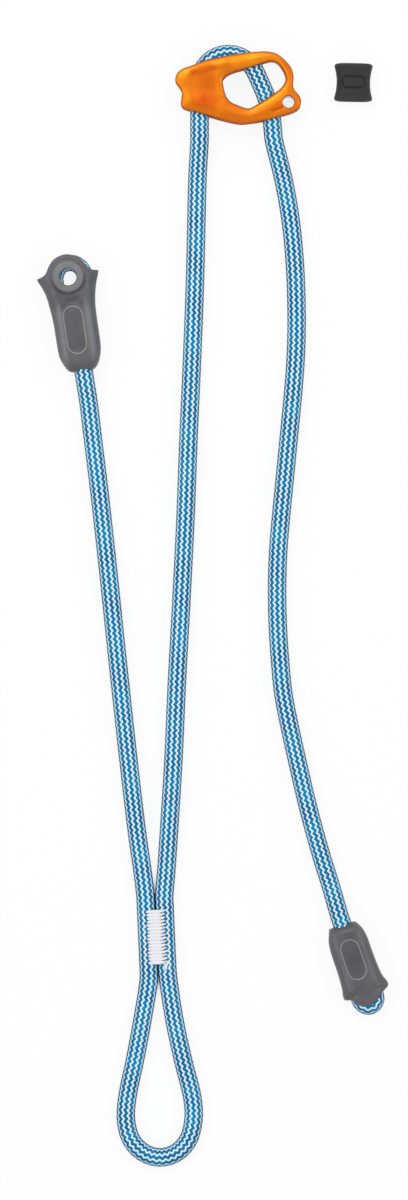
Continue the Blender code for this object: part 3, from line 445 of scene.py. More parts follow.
# %% The rope's tube
RINGS_APART = 0.54 * MM
ROUND_COLUMNS = 120
EYE_NARROWING = 0.12
EYE_NARROWS_OVER = (4.0 * MM, 26.0 * MM)
PRESS_GAP = 0.03 * MM
PRESSED_BELOW_STITCHING = 8.0 * MM
# Edges and ends, in mm, of the painted shade between the sewn strands and under the stitching
VALLEY_EDGE, VALLEY_END = (0.3, 1.0), (20.0, 28.0)
COVERED_SHADE, COVERED_EDGE, COVERED_END = 0.7, (4.6, 5.2), (12.2, 12.9)
STITCHING_ACROSS = np.array([math.cos(TIE_IN_TILT), math.sin(TIE_IN_TILT), 0.0])
STITCHING_ALONG = np.array([-math.sin(TIE_IN_TILT), math.cos(TIE_IN_TILT), 0.0])
UP = np.array([0.0, 0.0, 1.0])


def side_and_top(line):
    """For each point of a line, the level direction beside it and the one above it."""
    ahead = np.gradient(line, axis=0)
    ahead /= np.linalg.norm(ahead, axis=1, keepdims=True)
    side = np.cross(ahead, UP)
    side /= np.linalg.norm(side, axis=1, keepdims=True)
    return side, np.cross(side, ahead)


def from_stitching(points):
    """How far points lie across and along the tie-in stitching from its middle."""
    away = points - (*TIE_IN_PLACE, 0.0)
    return away @ STITCHING_ACROSS, away @ STITCHING_ALONG


def pressed_together(points, centre):
    """Where the stitching holds two strands, each skin stops at the plane between them."""
    middle_across, middle_along = from_stitching(centre)
    side = np.sign(middle_across)[:, None]
    sewn = (middle_along > -TIE_IN_TOP - PRESSED_BELOW_STITCHING)[:, None]
    beyond = np.maximum(PRESS_GAP - side * from_stitching(points)[0], 0) * sewn
    return points + (side * beyond)[..., None] * STITCHING_ACROSS


def paint_valley_shade(points):
    """Painted shade: 1 in the valley between the two sewn strands, less under the stitching, else 0.
    """
    across, along = (np.abs(away) / MM for away in from_stitching(points))
    valley = 1 - eased(across, *VALLEY_EDGE)
    covered = (1 - eased(across, *COVERED_EDGE)) * (1 - eased(along, *COVERED_END))
    return np.maximum(valley, COVERED_SHADE * covered) * (1 - eased(along, *VALLEY_END))


def braided_rope(name, line, run_before):
    """A tube along a line whose skin is the braid: radius = full radius - depth.

    The stitching presses the loop's legs together. An eye is pulled tight in its sleeve,
    so its rope is narrower there than at the sleeve's mouth.
    """
    centre, run = even_line(line, RINGS_APART)
    side, top = side_and_top(centre)
    angle = round_steps(ROUND_COLUMNS)
    u = CARRIERS * np.arange(ROUND_COLUMNS) / ROUND_COLUMNS + BLUE_ON_TOP
    v = (run_before + run) / BRAID_STEP
    depth = BRAID_RELIEF * (1 - braid_height(u[None, :], v[:, None]))
    radius = ROPE_DIAMETER / 2 - depth
    from_mouth = {"fixed_eye_braid": run[-1] - run, "tail_eye_braid": run}.get(name, 0 * run)
    narrow = 1 - EYE_NARROWING * eased(from_mouth, *EYE_NARROWS_OVER)
    across = (narrow[:, None] * np.cos(angle))[..., None] * side[:, None]
    skin = centre[:, None] + radius[..., None] * (across + np.sin(angle)[None, :, None] * top[:, None])
    if name == "tie_in_loop_braid":
        skin = pressed_together(skin, centre)
    piece = grid_object(name, skin)
    # The painted shade between and under the sewn strands, kept on the points
    keep_on_points(piece, "valley", paint_valley_shade(skin))
    rows = len(centre)
    row, column = np.arange(rows - 1)[:, None], np.arange(ROUND_COLUMNS)[None, :]
    unit = CARRIERS / ROUND_COLUMNS
    corners = [(row, column), (row + 1, column), (row + 1, column + 1), (row, column + 1)]
    quads = np.stack(
        [np.stack(np.broadcast_arrays(c * unit + BLUE_ON_TOP, v[r]), axis=-1) for r, c in corners],
        axis=2,
    )
    cap_corners = 3 * ROUND_COLUMNS
    caps = np.zeros((2 * cap_corners, 2))
    caps[:cap_corners, 1], caps[cap_corners:, 1] = v[0], v[-1]
    layer = piece.data.uv_layers.new(name="braid")
    layer.data.foreach_set("uv", np.vstack([quads.reshape(-1, 2), caps]).astype(np.float32).ravel())
    return piece, centre, run[-1]


print("rings", RINGS_APART / MM, "mm apart,", ROUND_COLUMNS, "points round")

# %% [markdown]
# ## Small tools for materials
#
# A material is a tree of nodes. These helpers add one node each, so that the materials
# further down read like sums. Effects that several materials share are node groups, and
# a group gives out only colours, masks, heights or values, never a finished shader.

# %% Node helpers
def feed(tree, socket, value):
    """Joins a socket to another socket, or gives it a plain value."""
    if isinstance(value, bpy.types.NodeSocket):
        tree.links.new(value, socket)
    else:
        socket.default_value = value


def calc(tree, operation, *values):
    """A Math node, and its answer."""
    node = tree.nodes.new("ShaderNodeMath")
    node.operation = operation
    for socket, value in zip(node.inputs, values):
        feed(tree, socket, value)
    return node.outputs[0]


def between(tree, share, low, high):
    """A colour between two others."""
    node = tree.nodes.new("ShaderNodeMix")
    node.data_type = "RGBA"
    for name, value in (("Factor_Float", share), ("A_Color", low), ("B_Color", high)):
        socket = next(s for s in node.inputs if s.identifier == name)
        feed(tree, socket, value)
    return next(s for s in node.outputs if s.identifier == "Result_Color")


def stretched(tree, value, low, high, to_low=0.0, to_high=1.0):
    """A value from low to high turned smoothly into one from to_low to to_high."""
    node = tree.nodes.new("ShaderNodeMapRange")
    node.interpolation_type = "SMOOTHSTEP"
    for socket, number in zip(node.inputs, (value, low, high, to_low, to_high)):
        feed(tree, socket, number)
    return node.outputs[0]


def new_group(name, inputs, outputs):
    """An empty node group with inputs of named kinds and plain outputs; its entry and exit."""
    tree = bpy.data.node_groups.new(name, "ShaderNodeTree")
    for label, kind in inputs.items():
        tree.interface.new_socket(label, in_out="INPUT", socket_type="NodeSocket" + kind)
    for label in outputs:
        tree.interface.new_socket(label, in_out="OUTPUT", socket_type="NodeSocketFloat")
    return tree, tree.nodes.new("NodeGroupInput").outputs, tree.nodes.new("NodeGroupOutput").inputs


def use_group(tree, name, **values):
    """A group placed in a material, and its outputs."""
    node = tree.nodes.new("ShaderNodeGroup")
    node.node_tree = bpy.data.node_groups[name]
    for label, value in values.items():
        feed(tree, node.inputs[label], value)
    return node.outputs


def new_material(name, roughness, metallic=0.0, **constants):
    """A material with its own Principled shader and the plain values set on it."""
    material = bpy.data.materials.new(name)
    material.use_nodes = True
    shader = material.node_tree.nodes["Principled BSDF"]
    shader.inputs["Roughness"].default_value = roughness
    shader.inputs["Metallic"].default_value = metallic
    for label, value in constants.items():
        shader.inputs[label.replace("_", " ")].default_value = value
    return material, material.node_tree, shader.inputs


def raised(tree, height, distance, strength=1.0):
    """A Bump node's normal for a height from 0 to 1 over a distance."""
    node = tree.nodes.new("ShaderNodeBump")
    node.inputs["Strength"].default_value = strength
    node.inputs["Distance"].default_value = distance
    tree.links.new(height, node.inputs["Height"])
    return node.outputs["Normal"]


def object_place(tree):
    """The point on the piece, in metres."""
    return tree.nodes.new("ShaderNodeTexCoord").outputs["Object"]


def kept(tree, name):
    """The number that was kept on the piece's points under a name."""
    node = tree.nodes.new("ShaderNodeAttribute")
    node.attribute_name = name
    return node.outputs["Fac"]


def paint(piece, material):
    """Gives the whole piece one material, in place of what a cut may have left."""
    piece.data.materials.clear()
    piece.data.materials.append(material)


def linear(red, green, blue):
    """A colour as a screen shows it, from 0 to 255, as the light it stands for."""
    shown = np.array([red, green, blue]) / 255
    light = np.where(shown <= 0.04045, shown / 12.92, ((shown + 0.055) / 1.055) ** 2.4)
    return (*light.tolist(), 1.0)


print("node helpers ready")

# %% [markdown]
# ## The rope's colours
#
# White zigzags run along the rope, one for every four strands round it, with blue between
# them. The same sum that raised the braid places them, so that they never slide off the
# relief: a strand's number and its zigzag are added, and the white lies where what is
# left of that by four is near two. The group reads the tube's own map, in strand units,
# and gives out the white's mask, the strands' crests and the fine yarns in each strand.

# %% Braid pattern as a node group
YARNS_PER_STRAND = 3.0
WHITE_HALF, WHITE_SOFTNESS = 0.78, 0.1


def make_braid_group():
    """braid_height as nodes, with the zigzags' mask and a sine across for the yarns."""
    tree, entry, leave = new_group("braided_sheath", {"Map": "Vector"}, ("White", "Crest", "Yarn"))
    parts = tree.nodes.new("ShaderNodeSeparateXYZ")
    feed(tree, parts.inputs[0], entry["Map"])
    v = parts.outputs[1]
    zigzag = calc(tree, "ABSOLUTE", calc(tree, "SUBTRACT", calc(tree, "FLOORED_MODULO", v, 2.0), 1.0))
    sway = calc(tree, "MULTIPLY_ADD", zigzag, 2 * STRAND_SWAY, -STRAND_SWAY)
    u = calc(tree, "ADD", parts.outputs[0], sway)
    p = calc(tree, "MULTIPLY", calc(tree, "SUBTRACT", u, v), 0.5)
    q = calc(tree, "MULTIPLY", calc(tree, "ADD", u, v), 0.5)
    across_p, across_q = calc(tree, "FRACT", p), calc(tree, "FRACT", q)
    cells = calc(tree, "ADD", calc(tree, "FLOOR", p), calc(tree, "FLOOR", q))
    turn = calc(tree, "FLOORED_MODULO", cells, 4.0)
    along_q = calc(tree, "LESS_THAN", turn, 1.5)
    along_p = calc(tree, "SUBTRACT", 1.0, along_q)

    def either(on_q, on_p):
        return calc(tree, "MULTIPLY_ADD", along_p, on_p, calc(tree, "MULTIPLY", along_q, on_q))

    across = calc(tree, "MULTIPLY_ADD", either(across_p, across_q), 2.0, -1.0)
    start = calc(tree, "MULTIPLY_ADD", along_p, -2.0, turn)
    along = calc(tree, "MULTIPLY", calc(tree, "ADD", start, either(across_q, across_p)), 0.5)
    flank = calc(tree, "MULTIPLY", calc(tree, "MULTIPLY", across, across), -STRAND_ROUNDNESS)
    crest = calc(tree, "SQRT", calc(tree, "ADD", flank, 1.0))
    dive = calc(tree, "POWER", calc(tree, "SINE", calc(tree, "MULTIPLY", along, math.pi)), STRAND_DIVE)
    wave = calc(tree, "SINE", calc(tree, "MULTIPLY", across, math.pi * YARNS_PER_STRAND))
    place = calc(tree, "FLOORED_MODULO", calc(tree, "ADD", u, zigzag), 4.0)
    off = calc(tree, "ABSOLUTE", calc(tree, "SUBTRACT", place, 2.0))
    edge = (WHITE_HALF - WHITE_SOFTNESS, WHITE_HALF + WHITE_SOFTNESS)
    feed(tree, leave["White"], stretched(tree, off, *edge, 1.0, 0.0))
    feed(tree, leave["Crest"], calc(tree, "MULTIPLY", crest, dive))
    feed(tree, leave["Yarn"], calc(tree, "MULTIPLY_ADD", wave, 0.5, 0.5))


make_braid_group()
print("group braided_sheath")

# %% [markdown]
# Rubber, thread, dye and steel all show a fine irregular grain and broad soft blotches.
# One group makes both from two noise textures on the piece's own coordinates.

# %% Grain as a node group
BLOTCH_RANGE = (0.3, 0.7)


def make_grain_group():
    """Fine noise at a scale, and noise 25 times as broad; neither repeats on a piece."""
    tree, entry, leave = new_group(
        "fine_grain", {"Place": "Vector", "Scale": "Float"}, ("Grain", "Blotch")
    )
    for label, factor, detail in (("Grain", 1.0, 3.0), ("Blotch", 0.04, 2.0)):
        noise = tree.nodes.new("ShaderNodeTexNoise")
        noise.inputs["Detail"].default_value = detail
        feed(tree, noise.inputs["Vector"], entry["Place"])
        feed(tree, noise.inputs["Scale"], calc(tree, "MULTIPLY", entry["Scale"], factor))
        feed(tree, leave[label], noise.outputs[0])


def grain_at(tree, scale):
    """The grain on the piece's own coordinates."""
    return use_group(tree, "fine_grain", Place=object_place(tree), Scale=scale)


def mottled(tree, name, grain, swing):
    """A number kept on the points, with blotches that swing it to both sides."""
    blotches = stretched(tree, grain["Blotch"], *BLOTCH_RANGE, -swing, swing)
    return calc(tree, "ADD", kept(tree, name), blotches)


def grained_finish(tree, shader, grain, colour, roughness, bump):
    """Joins up a colour, a roughness range over the blotches and the grain as a bump."""
    feed(tree, shader["Base Color"], colour)
    feed(tree, shader["Roughness"], stretched(tree, grain["Blotch"], *BLOTCH_RANGE, *roughness))
    feed(tree, shader["Normal"], raised(tree, grain["Grain"], *bump))


make_grain_group()
print("group fine_grain")

# %% Material of the rope
ROPE_WHITE = linear(228, 248, 255)
ROPE_BLUE = linear(4, 144, 196)
ROPE_DEEP_BLUE = linear(4, 114, 170)
# The groove and valley colours below are painted shade
ROPE_GROOVE_PAINTED_SHADE = linear(8, 52, 92)
ROPE_VALLEY_PAINTED_SHADE = linear(6, 62, 122)


def make_rope_material():
    """Matt yarn: white and two blues by the zigzags, with painted shade in the grooves and in the
    valley between the sewn strands.
    """
    material, tree, shader = new_material("rope_sheath", 0.82, Specular_IOR_Level=0.12)
    coordinates = tree.nodes.new("ShaderNodeUVMap")
    coordinates.uv_map = "braid"
    braid = use_group(tree, "braided_sheath", Map=coordinates.outputs[0])
    grain = grain_at(tree, 2400.0)
    blotch = stretched(tree, grain["Blotch"], 0.35, 0.65)
    blue = between(tree, blotch, ROPE_DEEP_BLUE, ROPE_BLUE)
    strand = between(tree, braid["White"], blue, ROPE_WHITE)
    # Painted shade where the strands dive under each other, stronger on the blue than on the white
    groove = stretched(tree, braid["Crest"], 0.30, 0.62, 1.0, 0.0)
    depth = calc(tree, "MULTIPLY_ADD", braid["White"], -0.45, 0.70)
    colour = between(tree, calc(tree, "MULTIPLY", groove, depth), strand, ROPE_GROOVE_PAINTED_SHADE)
    # Painted shade in the valley between the sewn strands and in the slits under the stitching
    hidden = calc(tree, "MULTIPLY", kept(tree, "valley"), 0.88)
    feed(tree, shader["Base Color"], between(tree, hidden, colour, ROPE_VALLEY_PAINTED_SHADE))
    fibres = calc(tree, "MULTIPLY_ADD", grain["Grain"], 0.5, braid["Yarn"])
    feed(tree, shader["Normal"], raised(tree, fibres, 0.08 * MM, 0.6))
    return material


rope_material = make_rope_material()
print("material", rope_material.name)

# %% [markdown]
# ## The rope, stretch by stretch
#
# Each stretch stands for one CAD node, and five of them move with a body. Three of them
# are free cords: the fixed arm, the adjustable arm and the tail. The adjustable arm and the
# tail cross a sliding joint, so they are baked in place and given no body here.

# %% Braided stretches
def make_rope():
    """Every stretch in order along the rope; gives name: (piece, centreline, length)."""
    stretches = [
        ("fixed_eye_braid", fixed_eye[::-1]),
        ("fixed_arm_braid", fixed_arm),
        ("tie_in_loop_braid", tie_in),
        ("adjustable_arm_braid", adjustable_arm[::-1]),
        ("adjuster_bend_braid", bend),
        ("tail_braid", tail),
        ("tail_eye_braid", tail_eye),
    ]
    made, run_before = {}, 0.0
    for name, line in stretches:
        piece, centre, length = braided_rope(name, line, run_before)
        paint(piece, rope_material)
        made[name] = (piece, centre, length)
        run_before += length
        print(name, round(length, 4), "m,", triangle_count(piece), "triangles")
    return made


rope = make_rope()

# %% Stretches that move with one body
for name, body, node in (
    ("fixed_eye_braid", "lanyard", "fixed_end_eye_rope"),
    ("fixed_arm_braid", "lanyard", "fixed_arm_rope"),
    ("tie_in_loop_braid", "lanyard", "tie_in_loop_rope"),
    ("adjuster_bend_braid", "rope_bight", "adjuster_rope_bight"),
    ("tail_eye_braid", "tail", "tail_end_eye_rope"),
):
    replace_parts(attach(rope[name][0], body), node)
print("five stretches ride")

# %% Stretches that cross a joint, and the free cords
arm_piece, arm_line, arm_length = rope["adjustable_arm_braid"]
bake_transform(arm_piece)
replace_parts(arm_piece, "adjustable_arm_rope")
tail_piece, tail_line, tail_length = rope["tail_braid"]
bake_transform(tail_piece)
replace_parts(tail_piece, "tail_rope")
fixed_piece, fixed_line, fixed_length = rope["fixed_arm_braid"]

for piece, line, length in (
    (fixed_piece, fixed_line, fixed_length),
    (arm_piece, arm_line[::-1], arm_length),
    (tail_piece, tail_line, tail_length),
):
    print(piece.name, "is a cord of", round(length, 3), "m")

# %% [markdown]
# ## Outlines, distances and cuts
#
# The sleeves and plates are thick flat forms with rounded rims. How high the skin stands
# at a point depends on how far that point is from the rim, so the distance to a closed
# outline is worked out for the whole grid at once. Holes that cross the grid are cut out
# with Blender's Boolean modifier, which is applied straight away.

# %% Distance to an outline
def loop_distance(points, loop):
    """The distance from each flat point to a closed loop of straight sides.

    Each side from a to b has its nearest point at a + t (b - a), where t is the point's
    share along the side, held between 0 and 1; the least of them counts.
    """
    shape = points.shape[:-1]
    flat = points.reshape(-1, 1, 2).astype(np.float32)
    a = loop[None].astype(np.float32)
    side = np.roll(a, -1, axis=1) - a
    t = ((flat - a) * side).sum(axis=2) / (side**2).sum(axis=2)
    near = a + np.clip(t, 0, 1)[..., None] * side
    return np.linalg.norm(flat - near, axis=2).min(axis=1).reshape(shape)


def inside_loop(points, loop):
    """Whether each flat point lies in a closed loop, by how often a level ray crosses it."""
    x, y = points[..., 0, None], points[..., 1, None]
    ax, ay = loop[:, 0], loop[:, 1]
    bx, by = np.roll(ax, -1), np.roll(ay, -1)
    spans = (ay > y) != (by > y)
    rise = np.where(by == ay, 1.0, by - ay)
    crossing = ax + (y - ay) / rise * (bx - ax)
    return (spans & (x < crossing)).sum(axis=-1) % 2 == 1


def reach_at(loop, centre, angle):
    """How far a loop lies from a centre in each direction."""
    away = loop - centre
    around = np.arctan2(away[:, 1], away[:, 0])
    order = np.argsort(around)
    far = np.hypot(away[:, 0], away[:, 1])
    return np.interp(angle, around[order], far[order], period=2 * np.pi)


def spread_loop(loop, count):
    """A closed loop as that many even points."""
    closed = np.vstack([loop, loop[:1]])
    run = run_along(closed)
    even = np.linspace(0, run[-1], count, endpoint=False)
    return np.stack([np.interp(even, run, axis) for axis in closed.T], axis=1)


print("distances ready")

# %% Boolean cuts
SHARP_FROM = math.radians(32.0)
SLOT_STEPS, SLOT_POWER = round_steps(48), 0.35
SLOT_HALF_WIDTH, SLOT_HALF_HEIGHT = 20.0 * MM, SEWN_DIAMETER / 2 + SEAT_GAP


def carve(piece, *cutters):
    """Cuts each cutter out of a piece, applies the cuts and removes the cutters."""
    for cutter in cutters:
        modifier = piece.modifiers.new(cutter.name, "BOOLEAN")
        modifier.operation, modifier.solver = "DIFFERENCE", "EXACT"
        modifier.object = cutter
    graph = bpy.context.evaluated_depsgraph_get()
    mesh = bpy.data.meshes.new_from_object(piece.evaluated_get(graph))
    piece.modifiers.clear()
    piece.data = mesh
    for cutter in cutters:
        bpy.data.objects.remove(cutter, do_unlink=True)
    mesh.shade_smooth()
    mesh.set_sharp_from_angle(angle=SHARP_FROM)
    return piece


def turned_object(name, profile, place, columns=48, closed=False):
    """A profile of (radius, height) turned about an upright axis, placed from the pivot."""
    angle = round_steps(columns)
    radius, height = np.asarray(profile, float).T
    x = ADJUSTER_PIVOT[0] + place[0] + radius[:, None] * np.cos(angle)
    y = ADJUSTER_PIVOT[1] + place[1] + radius[:, None] * np.sin(angle)
    z = np.broadcast_to(height[:, None], x.shape)
    return grid_object(name, np.stack([x, y, z], axis=-1), closed=closed, flip=True)


def tongue_slot(low, high, place, tilt):
    """A level slot from low to high along a sleeve: a long box with rounded edges.

    Its section is the closed curve y = cos^0.35, z = sin^0.35 with the signs kept.
    """
    y, z = (np.sign(f) * np.abs(f) ** SLOT_POWER for f in (np.cos(SLOT_STEPS), np.sin(SLOT_STEPS)))
    y = (low + high) / 2 + (high - low) / 2 * y
    x = np.array([[-SLOT_HALF_WIDTH], [SLOT_HALF_WIDTH]])
    grid = np.stack(np.broadcast_arrays(x, y, SLEEVE_MIDDLE_Z + SLOT_HALF_HEIGHT * z), axis=-1)
    return grid_object("tongue_slot", placed(grid, place, tilt), flip=True)


print("cuts ready")

# %% [markdown]
# ## The sleeves' moulded skin
#
# A sleeve is a soft rubber cover moulded round two rope strands. Its skin is two lens
# shaped sheets that meet at the outline. Round the big eye the two sheets also join
# through the hole that takes the connector. The skin's half thickness rises from the rim
# like the side of a pillow, dips round the hole's boss, and keeps the long plaque a touch
# lower than the face. It is worked out in millimetres, so its numbers stay readable.

# %% Sheets of a sleeve
RIM_WIDTH, TIGHT_RIM_WIDTH = 5.6 * MM, 2.0 * MM
RIM_POWER = 2.3
FACE_HALF_THICKNESS = 6.7
PLAQUE_DEPTH = 0.22 * MM
SLEEVE_COLUMNS = 400
RIM_ROWS = 14
FACE_ROWS = 56


def pillow(flat, outline, tight):
    """The half thickness in mm: a flattened quarter round from the rim, narrower if tight."""
    width = RIM_WIDTH - (RIM_WIDTH - TIGHT_RIM_WIDTH) * tight
    t = np.clip(loop_distance(flat, outline) / width, 0, 1)
    return FACE_HALF_THICKNESS * (1 - (1 - t) ** RIM_POWER) ** (1 / RIM_POWER)


def sheet_places(outline, centre, hole_radius):
    """Flat grid from the outline in to the hole or the middle; rows lie close at the rim."""
    angle = round_steps(SLEEVE_COLUMNS)
    reach = reach_at(outline, centre, angle)
    room = reach - hole_radius
    rim = np.minimum(RIM_WIDTH, 0.7 * room)
    theta = np.linspace(0, np.pi / 2, RIM_ROWS, endpoint=False)
    inset = rim * (1 - np.cos(theta))[:, None]
    rest = np.linspace(0, 1, FACE_ROWS)[:, None]
    inset = np.vstack([inset, rim + rest * (room - rim)])
    far = reach - inset
    return centre + far[..., None] * np.stack([np.cos(angle), np.sin(angle)], axis=-1)


def closed_skin(name, flat, half, polish, place, tilt, has_hole):
    """One closed skin from the flat grid, the half thickness on it and its painted light and shade."""
    top = np.concatenate([flat, (SLEEVE_MIDDLE_Z + half)[..., None]], axis=-1)
    low = np.maximum(SLEEVE_MIDDLE_Z - half, 0.0)
    bottom = np.concatenate([flat, low[..., None]], axis=-1)
    rows = np.concatenate([top[::-1], bottom[1:]])
    piece = grid_object(name, placed(rows, place, tilt), closed=has_hole)
    keep_on_points(piece, "polish", np.concatenate([polish[::-1], polish[1:]]))
    return piece


def stadium_depth(flat, middle, length, width):
    """How far inside a long round-ended plaque a point is; below 0 outside it."""
    straight = (length - width) / 2
    x = flat[..., 0] - middle[0]
    y = np.maximum(np.abs(flat[..., 1] - middle[1]) - straight, 0)
    return width / 2 - np.hypot(x, y)


def with_plaque(half, flat, plaque):
    """The half thickness from mm to metres, a touch lower inside the plaque."""
    return half * MM - PLAQUE_DEPTH * eased(stadium_depth(flat, *plaque) / MM, -0.1, 0.5)


print("sheets of", RIM_ROWS + FACE_ROWS, "rows")

# %% Fixed sleeve
FIXED_DOME = 11.3 * MM
EYE_HOLE_RADIUS = 4.2 * MM
EYE_BOSS_EDGE = (7.2, 8.1)
EYE_BOSS_HALF_THICKNESS = 7.1
EYE_LIP = 1.1
FIXED_PLAQUE = ((-0.5 * MM, -26.6 * MM), 23.8 * MM, 9.6 * MM)
FIXED_SLEEVE_SHARES = np.array([
    (0.18, 1.03), (0.68, 0.80), (0.94, 0.43), (1.07, 0.27), (1.41, 0.18), (1.40, 0.03),
    (1.25, -0.09), (1.12, -0.21), (1.05, -0.33), (1.03, -0.47), (1.03, -0.61),
    (1.02, -0.73), (0.98, -0.81), (0.89, -0.88), (0.74, -0.95), (0.50, -0.994),
    (0.06, -1.0), (-0.42, -0.993), (-0.63, -0.97), (-0.81, -0.90), (-0.93, -0.83),
    (-0.97, -0.75), (-0.98, -0.62), (-0.99, -0.46), (-1.05, -0.30), (-1.15, -0.15),
    (-1.29, -0.06), (-1.43, 0.04), (-1.39, 0.16), (-1.06, 0.30), (-0.88, 0.56),
    (-0.61, 0.86), (-0.22, 1.03),
])


def sleeve_loop(shares, reach_up, reach_down, middle):
    """The sleeve's outline: x as shares of the half width, y of the reach either way."""
    y = np.where(shares[:, 1] > 0, shares[:, 1] * reach_up, shares[:, 1] * reach_down)
    loop = np.column_stack([middle + shares[:, 0] * SLEEVE_HALF_WIDTH, y])
    return spread_loop(smooth_line(loop, closed=True), 360)


def fixed_half_thickness(flat, outline):
    """The pillow, with thin wings, shoulders, a boss in its ring, a hollow and a plaque."""
    x, y = flat[..., 0] / MM, flat[..., 1] / MM
    radius = np.hypot(x, y)
    dome = eased(y, -4.0, 2.0)
    half = pillow(flat, outline, dome)
    half *= 1 - 0.40 * eased(np.abs(x), 9.0, 14.5) * eased(y, -17.0, -6.0)
    half += 0.7 * eased(-y, 9.0, 14.0) * bell(np.abs(x) - 6.6, 1.9)
    half -= (0.75 - 0.55 * dome) * bell(radius - 8.6, 0.9)
    half -= 1.5 * bell(y + 12.2, 2.9) * bell(x, 6.5)
    half = EYE_BOSS_HALF_THICKNESS + (half - EYE_BOSS_HALF_THICKNESS) * eased(radius, *EYE_BOSS_EDGE)
    half -= EYE_LIP * quarter_fall((radius - EYE_HOLE_RADIUS / MM) / EYE_LIP)
    return with_plaque(half, flat, FIXED_PLAQUE)


def fixed_painted_light(flat):
    """Painted highlights on the two shoulders, the boss and the dome, and painted shade round the boss
    and in the hollow below it.
    """
    x, y = flat[..., 0] / MM, flat[..., 1] / MM
    radius = np.hypot(x, y)
    shoulders = eased(-y, 10.0, 18.0) * (1 - 0.7 * eased(-y, 37.0, 46.0))
    polish = 0.33 + 0.46 * shoulders * bell(np.abs(x) - 7.4, 1.7)
    polish += 0.34 * (1 - eased(radius, *EYE_BOSS_EDGE)) + 0.10 * eased(y, -4.0, 4.0)
    polish -= (0.10 + 0.14 * eased(-y, -2.0, 6.0)) * bell(radius - 8.6, 0.7)
    return polish - 0.14 * bell(y + 13.0, 3.6) * bell(x, 6.5)


fixed_outline = sleeve_loop(FIXED_SLEEVE_SHARES, FIXED_DOME, FIXED_LENGTH, 0.0)
fixed_flat = sheet_places(fixed_outline, np.zeros(2), EYE_HOLE_RADIUS)
fixed_skin = closed_skin(
    "fixed_sleeve_skin", fixed_flat, fixed_half_thickness(fixed_flat, fixed_outline),
    fixed_painted_light(fixed_flat), FIXED_PLACE, FIXED_TILT, True,
)
carve(fixed_skin, tongue_slot(1.2 * MM, 20.0 * MM, FIXED_PLACE, FIXED_TILT))
print("fixed sleeve", triangle_count(fixed_skin), "triangles")

# %% [markdown]
# The tail's sleeve has no hole. Its short tongue covers the middle of the tight little
# eye, and the rope's crown shows beyond it, as a stopper that cannot pull through the
# adjuster. The same sheets are used, drawn in to a point in the middle.

# %% Tail sleeve
TAIL_TONGUE = 6.3 * MM
TAIL_CENTRE = np.array([TAIL_MIDDLE, 15.0 * MM])
POLE_RADIUS = 0.15 * MM
TAIL_PLAQUE = ((0.35 * MM, 18.8 * MM), 20.4 * MM, 9.4 * MM)
TAIL_SLEEVE_SHARES = np.array([
    (-0.62, -1.0), (0.56, -0.995), (0.74, -0.93), (0.86, -0.84), (0.91, -0.73),
    (0.92, -0.57), (0.94, -0.40), (0.97, -0.26), (1.02, -0.17), (1.12, -0.09),
    (1.13, -0.04), (1.06, -0.01), (0.93, 0.07), (0.79, 0.22), (0.62, 0.46),
    (0.42, 0.73), (0.21, 0.89), (-0.04, 1.0), (-0.27, 0.86), (-0.46, 0.65),
    (-0.59, 0.37), (-0.67, 0.14), (-0.78, 0.03), (-1.00, -0.02), (-1.02, -0.08),
    (-0.97, -0.15), (-0.94, -0.25), (-0.92, -0.40), (-0.92, -0.56), (-0.91, -0.71),
    (-0.86, -0.83), (-0.78, -0.90), (-0.70, -0.96),
]) * (1, -1)


def tail_half_thickness(flat, outline):
    """The pillow, with thinner ears, a thin tongue, two shoulders and the plaque."""
    x, y = (flat[..., 0] - TAIL_MIDDLE) / MM, flat[..., 1] / MM
    half = pillow(flat, outline, eased(-y, -2.0, 1.0))
    half *= 1 - 0.25 * eased(np.abs(x), 9.0, 12.0) * eased(-y, -8.0, -2.0)
    half += 0.6 * eased(y, 1.0, 5.0) * bell(np.abs(x) - 6.4, 2.0)
    return with_plaque(half, flat, TAIL_PLAQUE)


def tail_painted_light(flat):
    """Painted highlights on the shoulders, and the tongue a little paler."""
    x, y = (flat[..., 0] - TAIL_MIDDLE) / MM, flat[..., 1] / MM
    shoulders = eased(y, 2.0, 8.0) * bell(np.abs(x) - 6.9, 1.6)
    return 0.28 + 0.20 * shoulders + 0.06 * eased(-y, -6.0, 0.0)


tail_outline = sleeve_loop(TAIL_SLEEVE_SHARES, TAIL_LENGTH, TAIL_TONGUE, TAIL_MIDDLE)
tail_flat = sheet_places(tail_outline, TAIL_CENTRE, POLE_RADIUS)
tail_skin = closed_skin(
    "tail_sleeve_skin", tail_flat, tail_half_thickness(tail_flat, tail_outline),
    tail_painted_light(tail_flat), TAIL_PLACE, TAIL_TILT, False,
)
carve(tail_skin, tongue_slot(-20.0 * MM, -0.8 * MM, TAIL_PLACE, TAIL_TILT))
print("tail sleeve", triangle_count(tail_skin), "triangles")

# %% [markdown]
# ## Rubber
#
# The sleeves are dark grey rubber with a soft sheen, painted highlights on their shoulders
# and the big eye's boss, and painted shade in their hollows. A thin pale line runs round the
# plaque on each of them. The line could be a strip of its own, but it is drawn only in the
# colour, so a group works out the distance to the plaque's outline and masks it.

